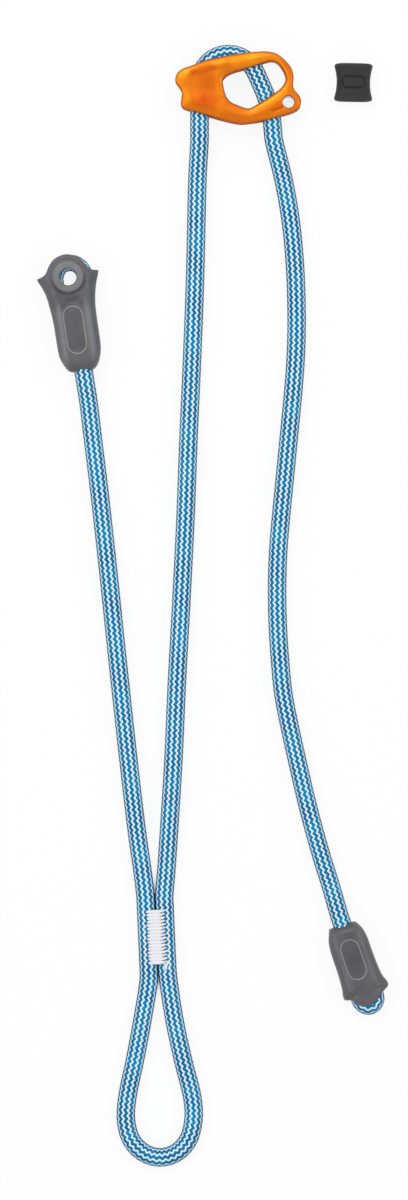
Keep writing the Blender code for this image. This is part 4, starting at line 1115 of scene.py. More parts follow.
# %% Plaque line and rubber
def make_plaque_group():
    """stadium_depth as nodes: a mask of the line along the plaque's edge, and of its inside."""
    tree, entry, leave = new_group(
        "plaque_line",
        {"Place": "Vector", "Straight": "Float", "Radius": "Float", "Width": "Float"},
        ("Line", "Inside"),
    )
    parts = tree.nodes.new("ShaderNodeSeparateXYZ")
    feed(tree, parts.inputs[0], entry["Place"])
    over = calc(tree, "SUBTRACT", calc(tree, "ABSOLUTE", parts.outputs[1]), entry["Straight"])
    over = calc(tree, "MAXIMUM", over, 0.0)
    square = calc(tree, "MULTIPLY", over, over)
    square = calc(tree, "MULTIPLY_ADD", parts.outputs[0], parts.outputs[0], square)
    depth = calc(tree, "SUBTRACT", entry["Radius"], calc(tree, "SQRT", square))
    away = calc(tree, "DIVIDE", calc(tree, "ABSOLUTE", depth), entry["Width"])
    front = calc(tree, "GREATER_THAN", parts.outputs[2], 0.0)
    line = calc(tree, "MULTIPLY", stretched(tree, away, 0.35, 0.65, 1.0, 0.0), front)
    feed(tree, leave["Line"], line)
    feed(tree, leave["Inside"], calc(tree, "MULTIPLY", calc(tree, "GREATER_THAN", depth, 0.0), front))


# The sleeve grey in painted shade and in painted highlight
SLEEVE_GREY_IN_PAINTED_SHADE, SLEEVE_GREY_IN_PAINTED_LIGHT = linear(52, 52, 55), linear(134, 134, 138)
PLAQUE_DARK, PLAQUE_PALE = (0.05, 0.05, 0.055, 1.0), linear(162, 162, 166)
PLAQUE_DARKENS, LINE_COVERS, LINE_WIDTH = 0.22, 0.7, 0.42 * MM


def make_rubber(name, plaque, place, tilt):
    """Grey moulded rubber with painted highlights and painted shade from the points, and the plaque's
    thin pale line.
    """
    material, tree, shader = new_material(name, 0.42, Specular_IOR_Level=0.45)
    middle, length, width = plaque
    mapping = tree.nodes.new("ShaderNodeMapping")
    mapping.vector_type = "TEXTURE"
    spot = placed([(*middle, SLEEVE_MIDDLE_Z)], place, tilt)[0]
    mapping.inputs["Location"].default_value = spot
    mapping.inputs["Rotation"].default_value = (0.0, 0.0, tilt)
    feed(tree, mapping.inputs["Vector"], object_place(tree))
    line = use_group(
        tree, "plaque_line", Place=mapping.outputs[0], Straight=(length - width) / 2,
        Radius=width / 2, Width=LINE_WIDTH,
    )
    grain = grain_at(tree, 3200.0)
    # Painted highlights and painted shade kept on the points, swung by the blotches
    base = between(tree, mottled(tree, "polish", grain, 0.04), SLEEVE_GREY_IN_PAINTED_SHADE, SLEEVE_GREY_IN_PAINTED_LIGHT)
    darker = between(tree, calc(tree, "MULTIPLY", line["Inside"], PLAQUE_DARKENS), base, PLAQUE_DARK)
    shown = between(tree, calc(tree, "MULTIPLY", line["Line"], LINE_COVERS), darker, PLAQUE_PALE)
    grained_finish(tree, shader, grain, shown, (0.36, 0.48), (0.05 * MM, 0.5))
    return material


make_plaque_group()
for skin, plaque, place, tilt, body, node in (
    (fixed_skin, FIXED_PLAQUE, FIXED_PLACE, FIXED_TILT, "lanyard", "fixed_end_sleeve"),
    (tail_skin, TAIL_PLAQUE, TAIL_PLACE, TAIL_TILT, "tail", "tail_end_sleeve"),
):
    paint(skin, make_rubber(skin.name + "_rubber", plaque, place, tilt))
    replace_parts(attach(skin, body), node)
    print(skin.name, "rides", body)

# %% [markdown]
# ## The adjuster's plates
#
# Two forged plates of orange anodised aluminium hold the rope's bend between them. Each
# is a ring of material round the window, so its skin is a grid too: columns go round the
# window's middle, and rows go out over the face, round the rim and back under it. The
# face is softly forged: a rounded border along every rim, and a shallow panel in the wide
# part.

# %% Outlines of the plates
PLATE_WIDTH = (7.4 + 16.9 + 9.5) * MM + 2 * BEND_RADIUS
PLATE_HEIGHT = 36.1 * MM
PLATE_THICKNESS, PLATE_GAP = 3.0 * MM, 10.1 * MM
FRONT_LOW = PLATE_THICKNESS + PLATE_GAP
FRONT_HIGH = FRONT_LOW + PLATE_THICKNESS
WINDOW_WIDTH, WINDOW_HEIGHT = 31.2 * MM, 23.6 * MM
WINDOW_PLACE = np.array([0.204 * PLATE_WIDTH, -0.030 * PLATE_HEIGHT])
EAR_HOLE_RADIUS = 3.0 * MM
EAR_HOLE_PLACE = np.array([0.476 * PLATE_WIDTH, -0.269 * PLATE_HEIGHT])
PLATE_SHARES = np.array([
    (-0.424, 0.028), (-0.412, 0.116), (-0.371, 0.187), (-0.302, 0.230), (-0.180, 0.307),
    (-0.058, 0.356), (0.104, 0.406), (0.267, 0.431), (0.332, 0.424), (0.389, 0.392),
    (0.454, 0.301), (0.499, 0.201), (0.516, 0.089), (0.514, -0.053), (0.527, -0.109),
    (0.560, -0.173), (0.576, -0.251), (0.567, -0.337), (0.527, -0.399), (0.429, -0.456),
    (0.308, -0.519), (0.186, -0.555), (0.096, -0.569), (0.023, -0.548), (-0.091, -0.499),
    (-0.221, -0.428), (-0.351, -0.361), (-0.375, -0.321), (-0.379, -0.266),
    (-0.371, -0.152), (-0.379, -0.096), (-0.403, -0.039),
])
WINDOW_SHARES = np.array([
    (-0.500, 0.094), (-0.492, -0.035), (-0.452, -0.229), (-0.378, -0.360),
    (-0.263, -0.434), (-0.118, -0.500), (-0.052, -0.489), (0.063, -0.403),
    (0.226, -0.274), (0.340, -0.166), (0.438, -0.058), (0.500, 0.094), (0.490, 0.223),
    (0.438, 0.352), (0.372, 0.460), (0.290, 0.500), (0.193, 0.481), (0.063, 0.418),
    (-0.150, 0.331), (-0.329, 0.265), (-0.428, 0.202), (-0.476, 0.147),
])
PANEL_SHARES = np.array([
    (-0.311, -0.042), (-0.295, 0.125), (-0.231, 0.204), (-0.143, 0.232), (-0.097, 0.166),
    (-0.094, 0.0), (-0.080, -0.152), (-0.058, -0.272), (-0.089, -0.344),
    (-0.175, -0.318), (-0.263, -0.262), (-0.303, -0.168),
])
plate_loop = spread_loop(smooth_line(PLATE_SHARES * (PLATE_WIDTH, PLATE_HEIGHT), True), 480)
window_loop = spread_loop(
    smooth_line(WINDOW_SHARES * (WINDOW_WIDTH, WINDOW_HEIGHT), True) + WINDOW_PLACE, 360
)
panel_loop = spread_loop(smooth_line(PANEL_SHARES * (PLATE_WIDTH, PLATE_HEIGHT), True), 160)
print("plate", round(PLATE_WIDTH / MM, 1), "x", PLATE_HEIGHT / MM, "mm")

# %% Forged face and the plate's skin
PLATE_COLUMNS = 480
PLATE_FACE_ROWS = 44
OUTER_ROUND, INNER_ROUND = 1.3 * MM, 0.6 * MM
BORDER_WIDTH, BORDER_DROP, BORDER_POWER = 5.0 * MM, 0.85 * MM, 1.7
PANEL_DROP, PANEL_EDGE = 0.4 * MM, 1.5 * MM
PANEL_FADES_OVER = (-13.0 * MM, -2.0 * MM)
EVEN_TONE = 0.45
RIDGE_ENDS = np.array([(-16.5, 6.6), (-2.0, 10.4)]) * MM
RIDGE_HEIGHT, RIDGE_WIDTH = 0.18 * MM, 1.8 * MM
CREASE_ENDS = np.array([(27.6, -12.4), (22.2, -14.6)]) * MM
CREASE_DEPTH, CREASE_WIDTH = 0.22 * MM, 0.9 * MM
PAINTED_LIGHT, PAINTED_SHADE = 1.0, -1.0
# Strokes of painted light and painted shade on the face: start, end, width in mm, strength
PLATE_PAINTED_LIGHT_STROKES = [
    ((-25.0, 1.0), (-21.8, 4.8), 3.0, 0.30 * PAINTED_LIGHT),
    ((-17.8, 4.4), (-8.0, 7.2), 1.6, 0.26 * PAINTED_SHADE),
    ((-16.5, 7.0), (-2.0, 10.4), 1.4, 0.12 * PAINTED_LIGHT),
    ((-3.6, -4.8), (-3.9, 4.6), 1.8, 0.24 * PAINTED_LIGHT),
    ((-12.0, -6.0), (-12.0, 2.0), 5.0, 0.16 * PAINTED_SHADE),
    ((-20.9, -10.5), (-20.9, -4.0), 2.2, 0.26 * PAINTED_LIGHT),
    ((-17.0, -9.8), (-8.0, -12.0), 2.0, 0.22 * PAINTED_SHADE),
    ((-12.5, -8.0), (-6.0, -8.8), 2.2, 0.22 * PAINTED_SHADE),
    ((3.0, 9.6), (12.0, 10.6), 2.4, 0.38 * PAINTED_LIGHT),
    ((12.5, 12.6), (22.5, 10.8), 3.2, 0.36 * PAINTED_LIGHT),
    ((23.2, 9.6), (26.6, -2.0), 2.6, 0.28 * PAINTED_LIGHT),
    ((10.5, -13.0), (24.5, -6.8), 2.0, 0.22 * PAINTED_LIGHT),
    ((27.0, -12.4), (22.2, -14.4), 1.1, 0.26 * PAINTED_SHADE),
    ((21.5, -16.4), (29.0, -13.8), 1.0, 0.20 * PAINTED_LIGHT),
]


def rim_steps(room, near):
    """Insets from one rim to the other: close together within near of both rims."""
    close = near * (1 - np.cos(np.linspace(0, np.pi / 2, 7)))
    share = np.linspace(0, 1, PLATE_FACE_ROWS)[1:-1, None]
    inner = near + share * (room - 2 * near)
    first = np.broadcast_to(close[:, None], (len(close), len(room)))
    return np.vstack([first, inner, room - first[::-1]])


def face_drop(flat):
    """How far the forged face lies below its highest level, in metres.

    A quarter round falls away at the rims, a wide shallow slope leads up to it, and the
    panel is a dish whose edge eases over three millimetres and that fades out downwards.
    """
    edge = np.minimum(loop_distance(flat, plate_loop), loop_distance(flat, window_loop))
    drop = OUTER_ROUND * quarter_fall(edge / OUTER_ROUND)
    drop += BORDER_DROP * np.clip(1 - edge / BORDER_WIDTH, 0, 1) ** BORDER_POWER
    panel = loop_distance(flat, panel_loop) * np.where(inside_loop(flat, panel_loop), 1, -1)
    fading = eased(flat[..., 1], *PANEL_FADES_OVER)
    drop += PANEL_DROP * eased(panel, -PANEL_EDGE, PANEL_EDGE) * fading
    ridge = bell(loop_distance(flat, RIDGE_ENDS), RIDGE_WIDTH)
    drop += RIDGE_HEIGHT * (1 - ridge) * eased(edge, 0, BORDER_WIDTH)
    crease = bell(loop_distance(flat, CREASE_ENDS), CREASE_WIDTH)
    drop += CREASE_DEPTH * crease * eased(edge, 0, 2 * MM)
    return drop, edge


def painted_plate_light(flat):
    """The face's even tone plus soft strokes of painted light and painted shade: each adds its
    strength times a bell.
    """
    tone = np.full(flat.shape[:-1], EVEN_TONE)
    for start, end, width, strength in PLATE_PAINTED_LIGHT_STROKES:
        tone += strength * bell(loop_distance(flat / MM, np.array([start, end])), width)
    return tone


def plate_skin(name, outer_z, inner_z):
    """A plate's closed skin: over the outer face, round the rim and under the inner one."""
    side = 1.0 if outer_z > inner_z else -1.0
    angle = round_steps(PLATE_COLUMNS)
    near, far = (reach_at(loop, WINDOW_PLACE, angle) for loop in (window_loop, plate_loop))
    inset = rim_steps(far - near, OUTER_ROUND)
    ray = np.stack([np.cos(angle), np.sin(angle)], axis=-1)
    flat = WINDOW_PLACE + (near + inset)[..., None] * ray
    drop, edge = face_drop(flat)
    under = INNER_ROUND * quarter_fall(edge / INNER_ROUND)
    outer = np.concatenate([flat, (outer_z - side * drop)[..., None]], axis=-1)
    inner = np.concatenate([flat, (inner_z + side * under)[..., None]], axis=-1)
    rows = np.concatenate([outer, inner[::-1]])
    piece = grid_object(name, placed(rows, ADJUSTER_PIVOT, 0.0), closed=True, flip=side > 0)
    # Painted shade at the rims and painted light and shade over the face, kept on the points
    rim, tone = 1 - eased(edge, 0.05 * MM, 0.8 * MM), painted_plate_light(flat)
    keep_on_points(piece, "rim_shade", np.concatenate([rim, rim[::-1]]))
    keep_on_points(piece, "burnish", np.concatenate([tone, tone[::-1]]))
    return piece


# %% Holes in the plates
EAR_FLARE, EAR_FACE_DROP = 0.25 * MM, 0.8 * MM
BAR_PLACE = (-6.25 * MM, -1.25 * MM)
NOSE_PLACE = (-23.3 * MM, -0.3 * MM)
GUIDE_PLACE = (0.052 * PLATE_WIDTH, -0.440 * PLATE_HEIGHT)
RIVET_TOP = (FRONT_LOW + 1.59 * MM) / MM
RIVET_PROFILE = np.array([
    (1.6, 0.1), (1.9, 0.25), (0.9, 1.1), (0.9, RIVET_TOP - 0.2), (0.7, RIVET_TOP),
]) * MM


def ear_cutter(name, low, high):
    """A drill with a small flare at both faces of a plate."""
    radius, wide = EAR_HOLE_RADIUS, EAR_HOLE_RADIUS + EAR_FLARE
    profile = [
        (wide, low - MM), (wide, low), (radius, low + EAR_FLARE),
        (radius, high - EAR_FLARE), (wide, high), (wide, high + MM),
    ]
    return turned_object(name, profile, EAR_HOLE_PLACE, 72)


def rivet_cutter(place):
    """The rivet's own profile, a hair wider, that passes out of both faces of the rear plate."""
    profile = RIVET_PROFILE[:4] + (0.05 * MM, 0.05 * MM)
    profile[0] = profile[1, 0], -MM
    profile[3, 1] = PLATE_THICKNESS + MM
    return turned_object("rivet_seat", profile, place)


front_plate = plate_skin("adjuster_front_forging", FRONT_HIGH, FRONT_LOW)
rear_plate = plate_skin("adjuster_rear_forging", 0.0, PLATE_THICKNESS)
carve(front_plate, ear_cutter("front_drill", FRONT_LOW, FRONT_HIGH - EAR_FACE_DROP))
rivet_seats = [rivet_cutter(place) for place in (BAR_PLACE, NOSE_PLACE, GUIDE_PLACE)]
carve(rear_plate, ear_cutter("rear_drill", EAR_FACE_DROP, PLATE_THICKNESS), *rivet_seats)
print("plates", triangle_count(front_plate), triangle_count(rear_plate), "triangles")

# %% [markdown]
# ## Anodised orange
#
# Anodised aluminium is a dyed glassy layer on bright metal. A plain metal shader would
# turn grey wherever it reflects nothing, so this one is six parts metal and four parts
# dye. Its rims are painted darker with painted shade, and the rim's closeness is kept on
# the mesh as an attribute. Lighter and darker bands over the face are painted light and
# painted shade, kept on the mesh too.

# %% Material of the plates
# The orange in painted shade and in painted light, and browner for the rims' painted shade
ORANGE_IN_PAINTED_SHADE, ORANGE_IN_PAINTED_LIGHT, ORANGE_RIM_PAINTED_SHADE = linear(206, 78, 0), linear(255, 152, 20), linear(150, 56, 12)


def make_anodised():
    """Orange from dark to light by painted light and shade, browner at the rims by painted shade."""
    material, tree, shader = new_material("orange_anodised", 0.36, 0.6, Specular_IOR_Level=0.25)
    grain = grain_at(tree, 2600.0)
    # Painted light and painted shade from the strokes kept on the points
    colour = between(tree, mottled(tree, "burnish", grain, 0.04), ORANGE_IN_PAINTED_SHADE, ORANGE_IN_PAINTED_LIGHT)
    # Painted shade at the rims
    shown = between(tree, calc(tree, "MULTIPLY", kept(tree, "rim_shade"), 0.8), colour, ORANGE_RIM_PAINTED_SHADE)
    grained_finish(tree, shader, grain, shown, (0.32, 0.40), (0.02 * MM, 0.35))
    return material


anodised = make_anodised()
for plate, node in ((front_plate, "adjuster_front_plate"), (rear_plate, "adjuster_rear_plate")):
    paint(plate, anodised)
    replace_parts(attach(plate, "adjuster"), node)
    print(plate.name, "rides adjuster")

# %% [markdown]
# ## Pins between the plates
#
# Four turned steel parts keep the plates apart: the bar that grips the rope's bend, the
# spacers at the nose and under the window, and the bush in the ear. Three rivets hold
# the plates on them. A lathe makes such parts from a bar, so each is a small profile
# turned about its own axis, with a broken edge at both ends.

# %% Steel
STEEL_DARK, STEEL_LIGHT = linear(176, 178, 182), linear(200, 202, 205)


def make_steel():
    """Satin steel whose gloss varies with the fine grain."""
    material, tree, shader = new_material("satin_steel", 0.3, 1.0)
    grain = grain_at(tree, 3000.0)
    tone = stretched(tree, grain["Blotch"], *BLOTCH_RANGE)
    feed(tree, shader["Base Color"], between(tree, tone, STEEL_DARK, STEEL_LIGHT))
    feed(tree, shader["Roughness"], stretched(tree, grain["Grain"], 0.2, 0.8, 0.24, 0.38))
    feed(tree, shader["Normal"], raised(tree, grain["Grain"], 0.02 * MM, 0.4))
    return material


steel = make_steel()
print("material", steel.name)

# %% Turned pins and rivets
PIN_BORE, PIN_BEVEL = 1.2 * MM, 0.3 * MM


def spacer_profile(radius, bore):
    """A sleeve between the plates, with small bevels at its four edges."""
    low, high = PLATE_THICKNESS + SEAT_GAP, FRONT_LOW - SEAT_GAP
    inner, outer = bore + PIN_BEVEL, radius - PIN_BEVEL
    return [
        (bore, low + PIN_BEVEL), (inner, low), (outer, low), (radius, low + PIN_BEVEL),
        (radius, high - PIN_BEVEL), (outer, high), (inner, high), (bore, high - PIN_BEVEL),
    ]


PINS = [
    ("grip_bar", "friction_bar", BAR_PLACE, spacer_profile(2.75 * MM, PIN_BORE), True),
    ("nose_pin", "nose_spacer", NOSE_PLACE, spacer_profile(2.0 * MM, PIN_BORE), True),
    ("guide_pin", "guide_spacer", GUIDE_PLACE, spacer_profile(2.4 * MM, PIN_BORE), True),
    ("ear_tube", "ear_bush", EAR_HOLE_PLACE, spacer_profile(3.75 * MM, EAR_HOLE_RADIUS), True),
    ("grip_bar_rivet", "friction_bar_rivet", BAR_PLACE, RIVET_PROFILE, False),
    ("nose_pin_rivet", "nose_rivet", NOSE_PLACE, RIVET_PROFILE, False),
    ("guide_pin_rivet", "guide_rivet", GUIDE_PLACE, RIVET_PROFILE, False),
]
for name, node, place, profile, closed in PINS:
    pin = turned_object(name, profile, place, closed=closed)
    pin.data.set_sharp_from_angle(angle=SHARP_FROM)
    paint(pin, steel)
    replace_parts(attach(pin, "adjuster"), node)
print(len(PINS), "turned parts")

# %% [markdown]
# ## The retainer
#
# The loose retainer is a short black rubber tube with a flat oval section and a waist.
# It slides over the eye and keeps a connector in place. Its skin goes up the outside,
# over a rounded lip, down the slot and back, so it closes both ways.

# %% Retainer
RETAINER_PLACE, RETAINER_TILT = (70.2 * MM, 261.8 * MM), math.radians(-1.0)
RETAINER_LENGTH, RETAINER_WIDTH, RETAINER_THICKNESS = 19.0 * MM, 19.0 * MM, 9.0 * MM
RETAINER_WALL, RETAINER_LIP, RETAINER_CORNER = 1.8 * MM, 0.9 * MM, 2.1 * MM
WAIST_SHARE, WAIST_RISE = 0.88, 0.19
GROOVE_WIDTH, GROOVE_DEPTH = 0.36 * MM, 0.7 * MM
RETAINER_PLAQUE = ((0.0, 0.0), 11.6 * MM, 5.6 * MM)


def retainer_section():
    """Height along the tube and the inset from its outer skin, once round the wall."""
    half = RETAINER_LENGTH / 2
    outer = np.linspace(-1, 1, 49)[1:-1] * (half - RETAINER_LIP)
    theta = np.linspace(0, np.pi, 13)
    lip_y = half - RETAINER_LIP + RETAINER_LIP * np.sin(theta)
    lip_inset = RETAINER_WALL / 2 * (1 - np.cos(theta))
    y = np.concatenate([outer, lip_y, outer[::-1], -lip_y[::-1]])
    return y, np.concatenate([0 * outer, lip_inset, 0 * outer + RETAINER_WALL, lip_inset[::-1]])


def retainer_skin():
    """A stadium across the tube, wider towards both ends by the square of the height."""
    y, inset = (values[:, None] for values in retainer_section())
    rounding = RETAINER_CORNER * quarter_fall((RETAINER_LENGTH / 2 - np.abs(y)) / RETAINER_CORNER)
    waist = WAIST_SHARE + WAIST_RISE * (2 * y / RETAINER_LENGTH) ** 2
    radius = RETAINER_THICKNESS / 2 - inset
    arm = RETAINER_WIDTH * waist / 2 - inset - rounding - radius
    turn = np.pi * (np.linspace(0, 1, 36) - 0.5)
    straight = np.linspace(1, -1, 25)[1:-1]
    right = np.stack([arm + radius * np.cos(turn), radius * np.sin(turn)], axis=-1)
    across_top = np.stack(np.broadcast_arrays(arm * straight, radius), axis=-1)
    half_ring = np.concatenate([right, across_top], axis=1)
    x, z = np.moveaxis(np.concatenate([half_ring, -half_ring], axis=1), -1, 0)
    y = np.broadcast_to(y, x.shape)
    depth = stadium_depth(np.stack([y, x], axis=-1), *RETAINER_PLAQUE)
    groove = np.where((inset < 0.05 * MM) & (z > 0), bell(depth, GROOVE_WIDTH), 0)
    grid = np.stack([x, y, z - GROOVE_DEPTH * groove + RETAINER_THICKNESS / 2], axis=-1)
    piece = grid_object("retainer_skin", placed(grid, RETAINER_PLACE, RETAINER_TILT), closed=True)
    # Paler towards the rounded sides and the ends, and painted shade in the plaque's groove
    edge = 0.35 * eased(np.abs(x), 6.4 * MM, 8.6 * MM) + 0.25 * eased(np.abs(y), 7 * MM, 9 * MM)
    keep_on_points(piece, "polish", 0.4 + edge - 0.4 * groove)
    return piece


def make_retainer_rubber():
    """Near-black rubber, paler towards its rounded sides and ends, with painted shade in the plaque's
    groove.
    """
    material, tree, shader = new_material("retainer_rubber", 0.55, Specular_IOR_Level=0.4)
    grain = grain_at(tree, 3000.0)
    colour = between(tree, mottled(tree, "polish", grain, 0.05), linear(2, 2, 2), linear(52, 52, 54))
    grained_finish(tree, shader, grain, colour, (0.5, 0.6), (0.05 * MM, 0.5))
    return material


retainer = retainer_skin()
paint(retainer, make_retainer_rubber())
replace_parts(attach(retainer, "retainer"), "carabiner_retainer")
print("retainer", triangle_count(retainer), "triangles")

# %% [markdown]
# ## The stitching
#
# Stout white thread joins the two legs above the loop. The machine lays it across both
# strands, back and forth, and the passes lie so close that they hide the rope. Each pass
# is a flat tube that rises out of one strand, bridges the valley and dives into the other
# one. The same stitching, out of sight, joins the strands in both sleeves.

# %% Threads
STITCH_PITCH = 1.7 * MM
STITCH_WIDTH = 10.4 * MM
PASS_POINTS = 25
THREAD_COLUMNS = 16
THREAD_HALF_WIDTH, THREAD_HALF_HEIGHT = 0.86 * MM, 0.36 * MM
PLY_TURN, PLY_RELIEF = 1.4 * MM, 0.07
PASS_OVERHANG, LOWER_RIGHT_REACH, PASS_LEAN = 0.25 * MM, 0.9 * MM, 0.5 * MM
LEFT_THINS_OVER, RIGHT_THINS_OVER = (2.4 * MM, 4.2 * MM), (1.6 * MM, 3.8 * MM)
TAG_ROUTE = np.array([(4.3, -4.2, -0.25), (3.9, -3.2, 0.05), (4.3, -2.0, 0.1), (5.0, -0.9, -0.2)]) * MM
TAG_WIDTH = 0.75


def pass_line(length, crown_z, dive_z):
    """One thread, pass after pass, and its width share: height falls by share^8 across.

    The passes rise a little towards the right and reach further out there lower down.
    Each is drawn thin towards its ends, more or less so from pass to pass, and earlier on
    the right, so that uneven slits open between them.
    """
    passes = int(length / STITCH_PITCH) + 1
    number = np.arange(passes)[:, None]
    share = np.sin(np.linspace(-np.pi / 2, np.pi / 2, PASS_POINTS))
    turn = np.where(number % 2 == 0, -1.0, 1.0)
    reach = (STITCH_WIDTH / 2 + PASS_OVERHANG) * (1 + 0.04 * np.sin(4.7 * number))
    reach = reach + (turn * share > 0) * (1 - number / passes) * LOWER_RIGHT_REACH * np.abs(share)
    x = turn * share * reach
    start = -(passes - 1) * STITCH_PITCH / 2
    y = start + number * STITCH_PITCH + PASS_LEAN * eased(x, 2 * MM, 5 * MM)
    z = crown_z - (crown_z - dive_z) * np.abs(share[None, :]) ** 8 + 0 * x
    thin_left = 0.20 + 0.14 * np.sin(2.3 * number)
    thin_right = 0.44 + 0.10 * np.sin(3.1 * number + 1)
    width = 1 - thin_right * eased(x, *RIGHT_THINS_OVER) - thin_left * eased(-x, *LEFT_THINS_OVER)
    return np.stack([x, y, z], axis=-1).reshape(-1, 3), width.ravel()


def with_tag(line, width, crown_z):
    """The thread's cut end, left lying on the right strand below the first pass."""
    tag = TAG_ROUTE + (0.0, line[0, 1], crown_z)
    return np.vstack([tag, line]), np.concatenate([np.full(len(tag), TAG_WIDTH), width])


def thread_tube(name, line, width):
    """A flat tube along a line, with the slight ridges of a twisted thread."""
    side, top = side_and_top(line)
    angle = round_steps(THREAD_COLUMNS)
    twist = 2 * np.pi * run_along(line)[:, None] / PLY_TURN
    ply = 1 + PLY_RELIEF * np.cos(2 * angle + twist)
    wide = (ply * THREAD_HALF_WIDTH * width[:, None] * np.cos(angle))[..., None] * side[:, None]
    high = (ply * THREAD_HALF_HEIGHT * np.sin(angle))[..., None] * top[:, None]
    return grid_object(name, line[:, None] + wide + high)


def make_thread_material():
    """Nearly white bonded thread with a fine grain."""
    material, tree, shader = new_material("sewing_thread", 0.7, Specular_IOR_Level=0.35)
    grain = grain_at(tree, 2600.0)
    tone = stretched(tree, grain["Grain"], 0.3, 0.7)
    colour = between(tree, tone, linear(228, 230, 235), linear(242, 243, 247))
    grained_finish(tree, shader, grain, colour, (0.62, 0.78), (0.06 * MM, 0.5))
    return material


print("passes", STITCH_PITCH / MM, "mm apart")

# %% Three stitchings, each with a needle and a bobbin side
CROWN_ABOVE_ROPE, DIVE_INTO_ROPE = 0.3 * MM, 1.9 * MM
STITCHING_SHORTER = 1.1 * MM
FIXED_STRAND_RUN = FIXED_LENGTH * (FIXED_END_SHARE - FIXED_NECK_SHARE)
FIXED_STITCH_MIDDLE = -FIXED_LENGTH * (FIXED_END_SHARE + FIXED_NECK_SHARE) / 2
TAIL_STRAND_RUN = TAIL_LENGTH * TAIL_NECK_SHARE
STITCHINGS = [
    ("tie_in", "lanyard", TIE_IN_PLACE, TIE_IN_TILT, (0.0, 0.0), TIE_IN_STITCH_LENGTH, STITCH_ROPE_Z),
    ("fixed_end", "lanyard", FIXED_PLACE, FIXED_TILT, (0.0, FIXED_STITCH_MIDDLE),
     FIXED_STRAND_RUN - STITCHING_SHORTER, SLEEVE_MIDDLE_Z),
    ("tail_end", "tail", TAIL_PLACE, TAIL_TILT, (TAIL_MIDDLE, TAIL_STRAND_RUN / 2),
     TAIL_STRAND_RUN - STITCHING_SHORTER, SLEEVE_MIDDLE_Z),
]
thread_material = make_thread_material()
for name, body, place, tilt, middle, length, rope_z in STITCHINGS:
    for kind, turn in (("needle", 1), ("bobbin", -1)):
        crown = rope_z + turn * (SEWN_DIAMETER / 2 + CROWN_ABOVE_ROPE)
        line, width = pass_line(length, crown, rope_z + turn * (SEWN_DIAMETER / 2 - DIVE_INTO_ROPE))
        if (name, kind) == ("tie_in", "needle"):
            line, width = with_tag(line, width, crown)
        line = placed(line + (*middle, 0.0), place, tilt)
        thread = thread_tube(f"{name}_{kind}_stitching", line, width)
        paint(thread, thread_material)
        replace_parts(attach(thread, body), f"{name}_{kind}_thread")
    print(name, "stitching,", triangle_count(thread), "triangles a side")

# %% [markdown]
# ## Floor and light
#
# The photograph's background is plain white. The floor is a real one, so that it takes
# the lanyard's soft shadow, but to the camera it is mixed with plain white light. The
# lamps are large and weak, so that a colour renders about as it is written.

# %% Floor
FLOOR_HALF = 8.0
FLOOR_GLOW = 0.89
FLOOR_BOUNCE, FLOOR_WHITE = (0.22, 0.22, 0.22, 1.0), (0.95, 0.95, 0.95, 1.0)
NARROW_GAP = 6.0 * MM


def seen_directly(tree):
    """1 for camera, glossy and transmission rays, else 0."""
    rays = tree.nodes.new("ShaderNodeLightPath").outputs
    both = calc(tree, "MAXIMUM", rays["Is Camera Ray"], rays["Is Glossy Ray"])
    return calc(tree, "MAXIMUM", both, rays["Is Transmission Ray"])


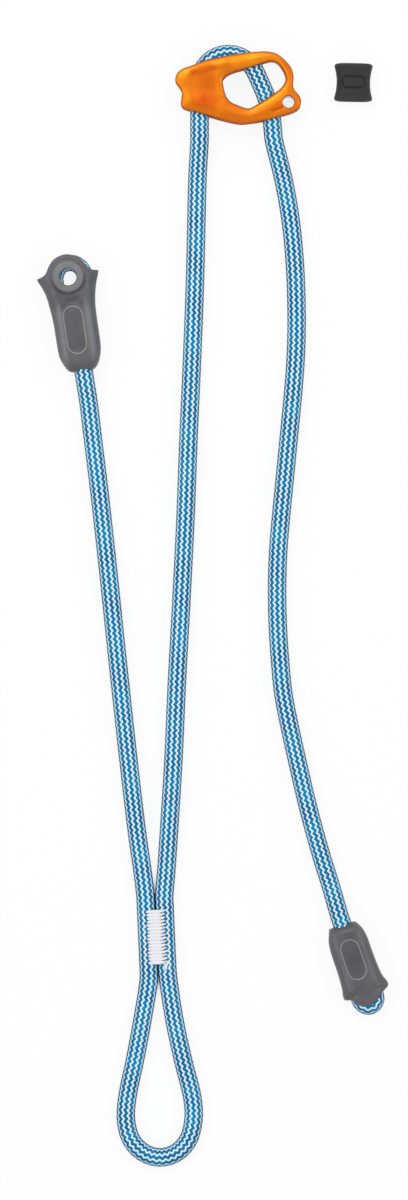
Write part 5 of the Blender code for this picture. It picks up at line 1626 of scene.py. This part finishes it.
def add_floor():
    """A matt floor that glows white to the camera, except in narrow gaps beside the rope."""
    corners = [(-1, -1), (1, -1), (1, 1), (-1, 1)]
    mesh = bpy.data.meshes.new("floor")
    mesh.from_pydata([(x * FLOOR_HALF, y * FLOOR_HALF, 0.0) for x, y in corners], [], [(0, 1, 2, 3)])
    floor = bpy.data.objects.new("floor", mesh)
    bpy.context.scene.collection.objects.link(floor)
    material, tree, shader = new_material("floor", 1.0, Specular_IOR_Level=0.0)
    direct = seen_directly(tree)
    feed(tree, shader["Base Color"], between(tree, direct, FLOOR_BOUNCE, FLOOR_WHITE))
    glow = tree.nodes.new("ShaderNodeEmission")
    mix = tree.nodes.new("ShaderNodeMixShader")
    walls = tree.nodes.new("ShaderNodeAmbientOcclusion")
    walls.inputs["Distance"].default_value = NARROW_GAP
    open_share = stretched(tree, walls.outputs["AO"], 0.07, 0.24, 0.0, FLOOR_GLOW)
    feed(tree, mix.inputs[0], calc(tree, "MULTIPLY", direct, open_share))
    tree.links.new(tree.nodes["Principled BSDF"].outputs[0], mix.inputs[1])
    tree.links.new(glow.outputs[0], mix.inputs[2])
    tree.links.new(mix.outputs[0], tree.nodes["Material Output"].inputs[0])
    paint(floor, material)


add_floor()
print("floor", 2 * FLOOR_HALF, "m wide")

# %% World and lamps
SKY_LIGHT = 0.55
ZENITH_SHARE = 0.6


def light_world():
    """White behind everything; above, a softer grey for gloss to reflect."""
    world = bpy.data.worlds.new("studio")
    bpy.context.scene.world = world
    world.use_nodes = True
    tree = world.node_tree
    parts = tree.nodes.new("ShaderNodeSeparateXYZ")
    feed(tree, parts.inputs[0], tree.nodes.new("ShaderNodeTexCoord").outputs["Generated"])
    up = stretched(tree, parts.outputs[2], 0.3, 0.95, 1.0, ZENITH_SHARE)
    direct = seen_directly(tree)
    sky = stretched(tree, parts.outputs[2], 0.0, 0.8, 0.25 * SKY_LIGHT, 1.4 * SKY_LIGHT)
    hidden = calc(tree, "MULTIPLY", calc(tree, "SUBTRACT", 1.0, direct), sky)
    strength = calc(tree, "MULTIPLY_ADD", direct, up, hidden)
    feed(tree, tree.nodes["Background"].inputs["Strength"], strength)
    tree.nodes["Background"].inputs["Color"].default_value = (1.0, 1.0, 1.0, 1.0)


def add_softbox(name, place, size, watts):
    """A square lamp that faces the lanyard's middle."""
    lamp = bpy.data.lights.new(name, "AREA")
    lamp.size, lamp.energy = size, watts
    softbox = bpy.data.objects.new(name, lamp)
    bpy.context.scene.collection.objects.link(softbox)
    softbox.location = place
    reach = math.hypot(place[0], place[1])
    softbox.rotation_euler = (math.atan2(reach, place[2]), 0.0, math.atan2(place[0], -place[1]))
    softbox.visible_camera = False


light_world()
add_softbox("key_softbox", (-0.5, 1.3, 2.2), 1.0, 16.0)
add_softbox("left_softbox", (-1.5, -0.2, 1.9), 0.8, 7.0)
add_softbox("right_softbox", (1.5, 0.1, 1.9), 0.8, 7.0)
bpy.context.scene.view_settings.view_transform = "Standard"
print("world and three softboxes")
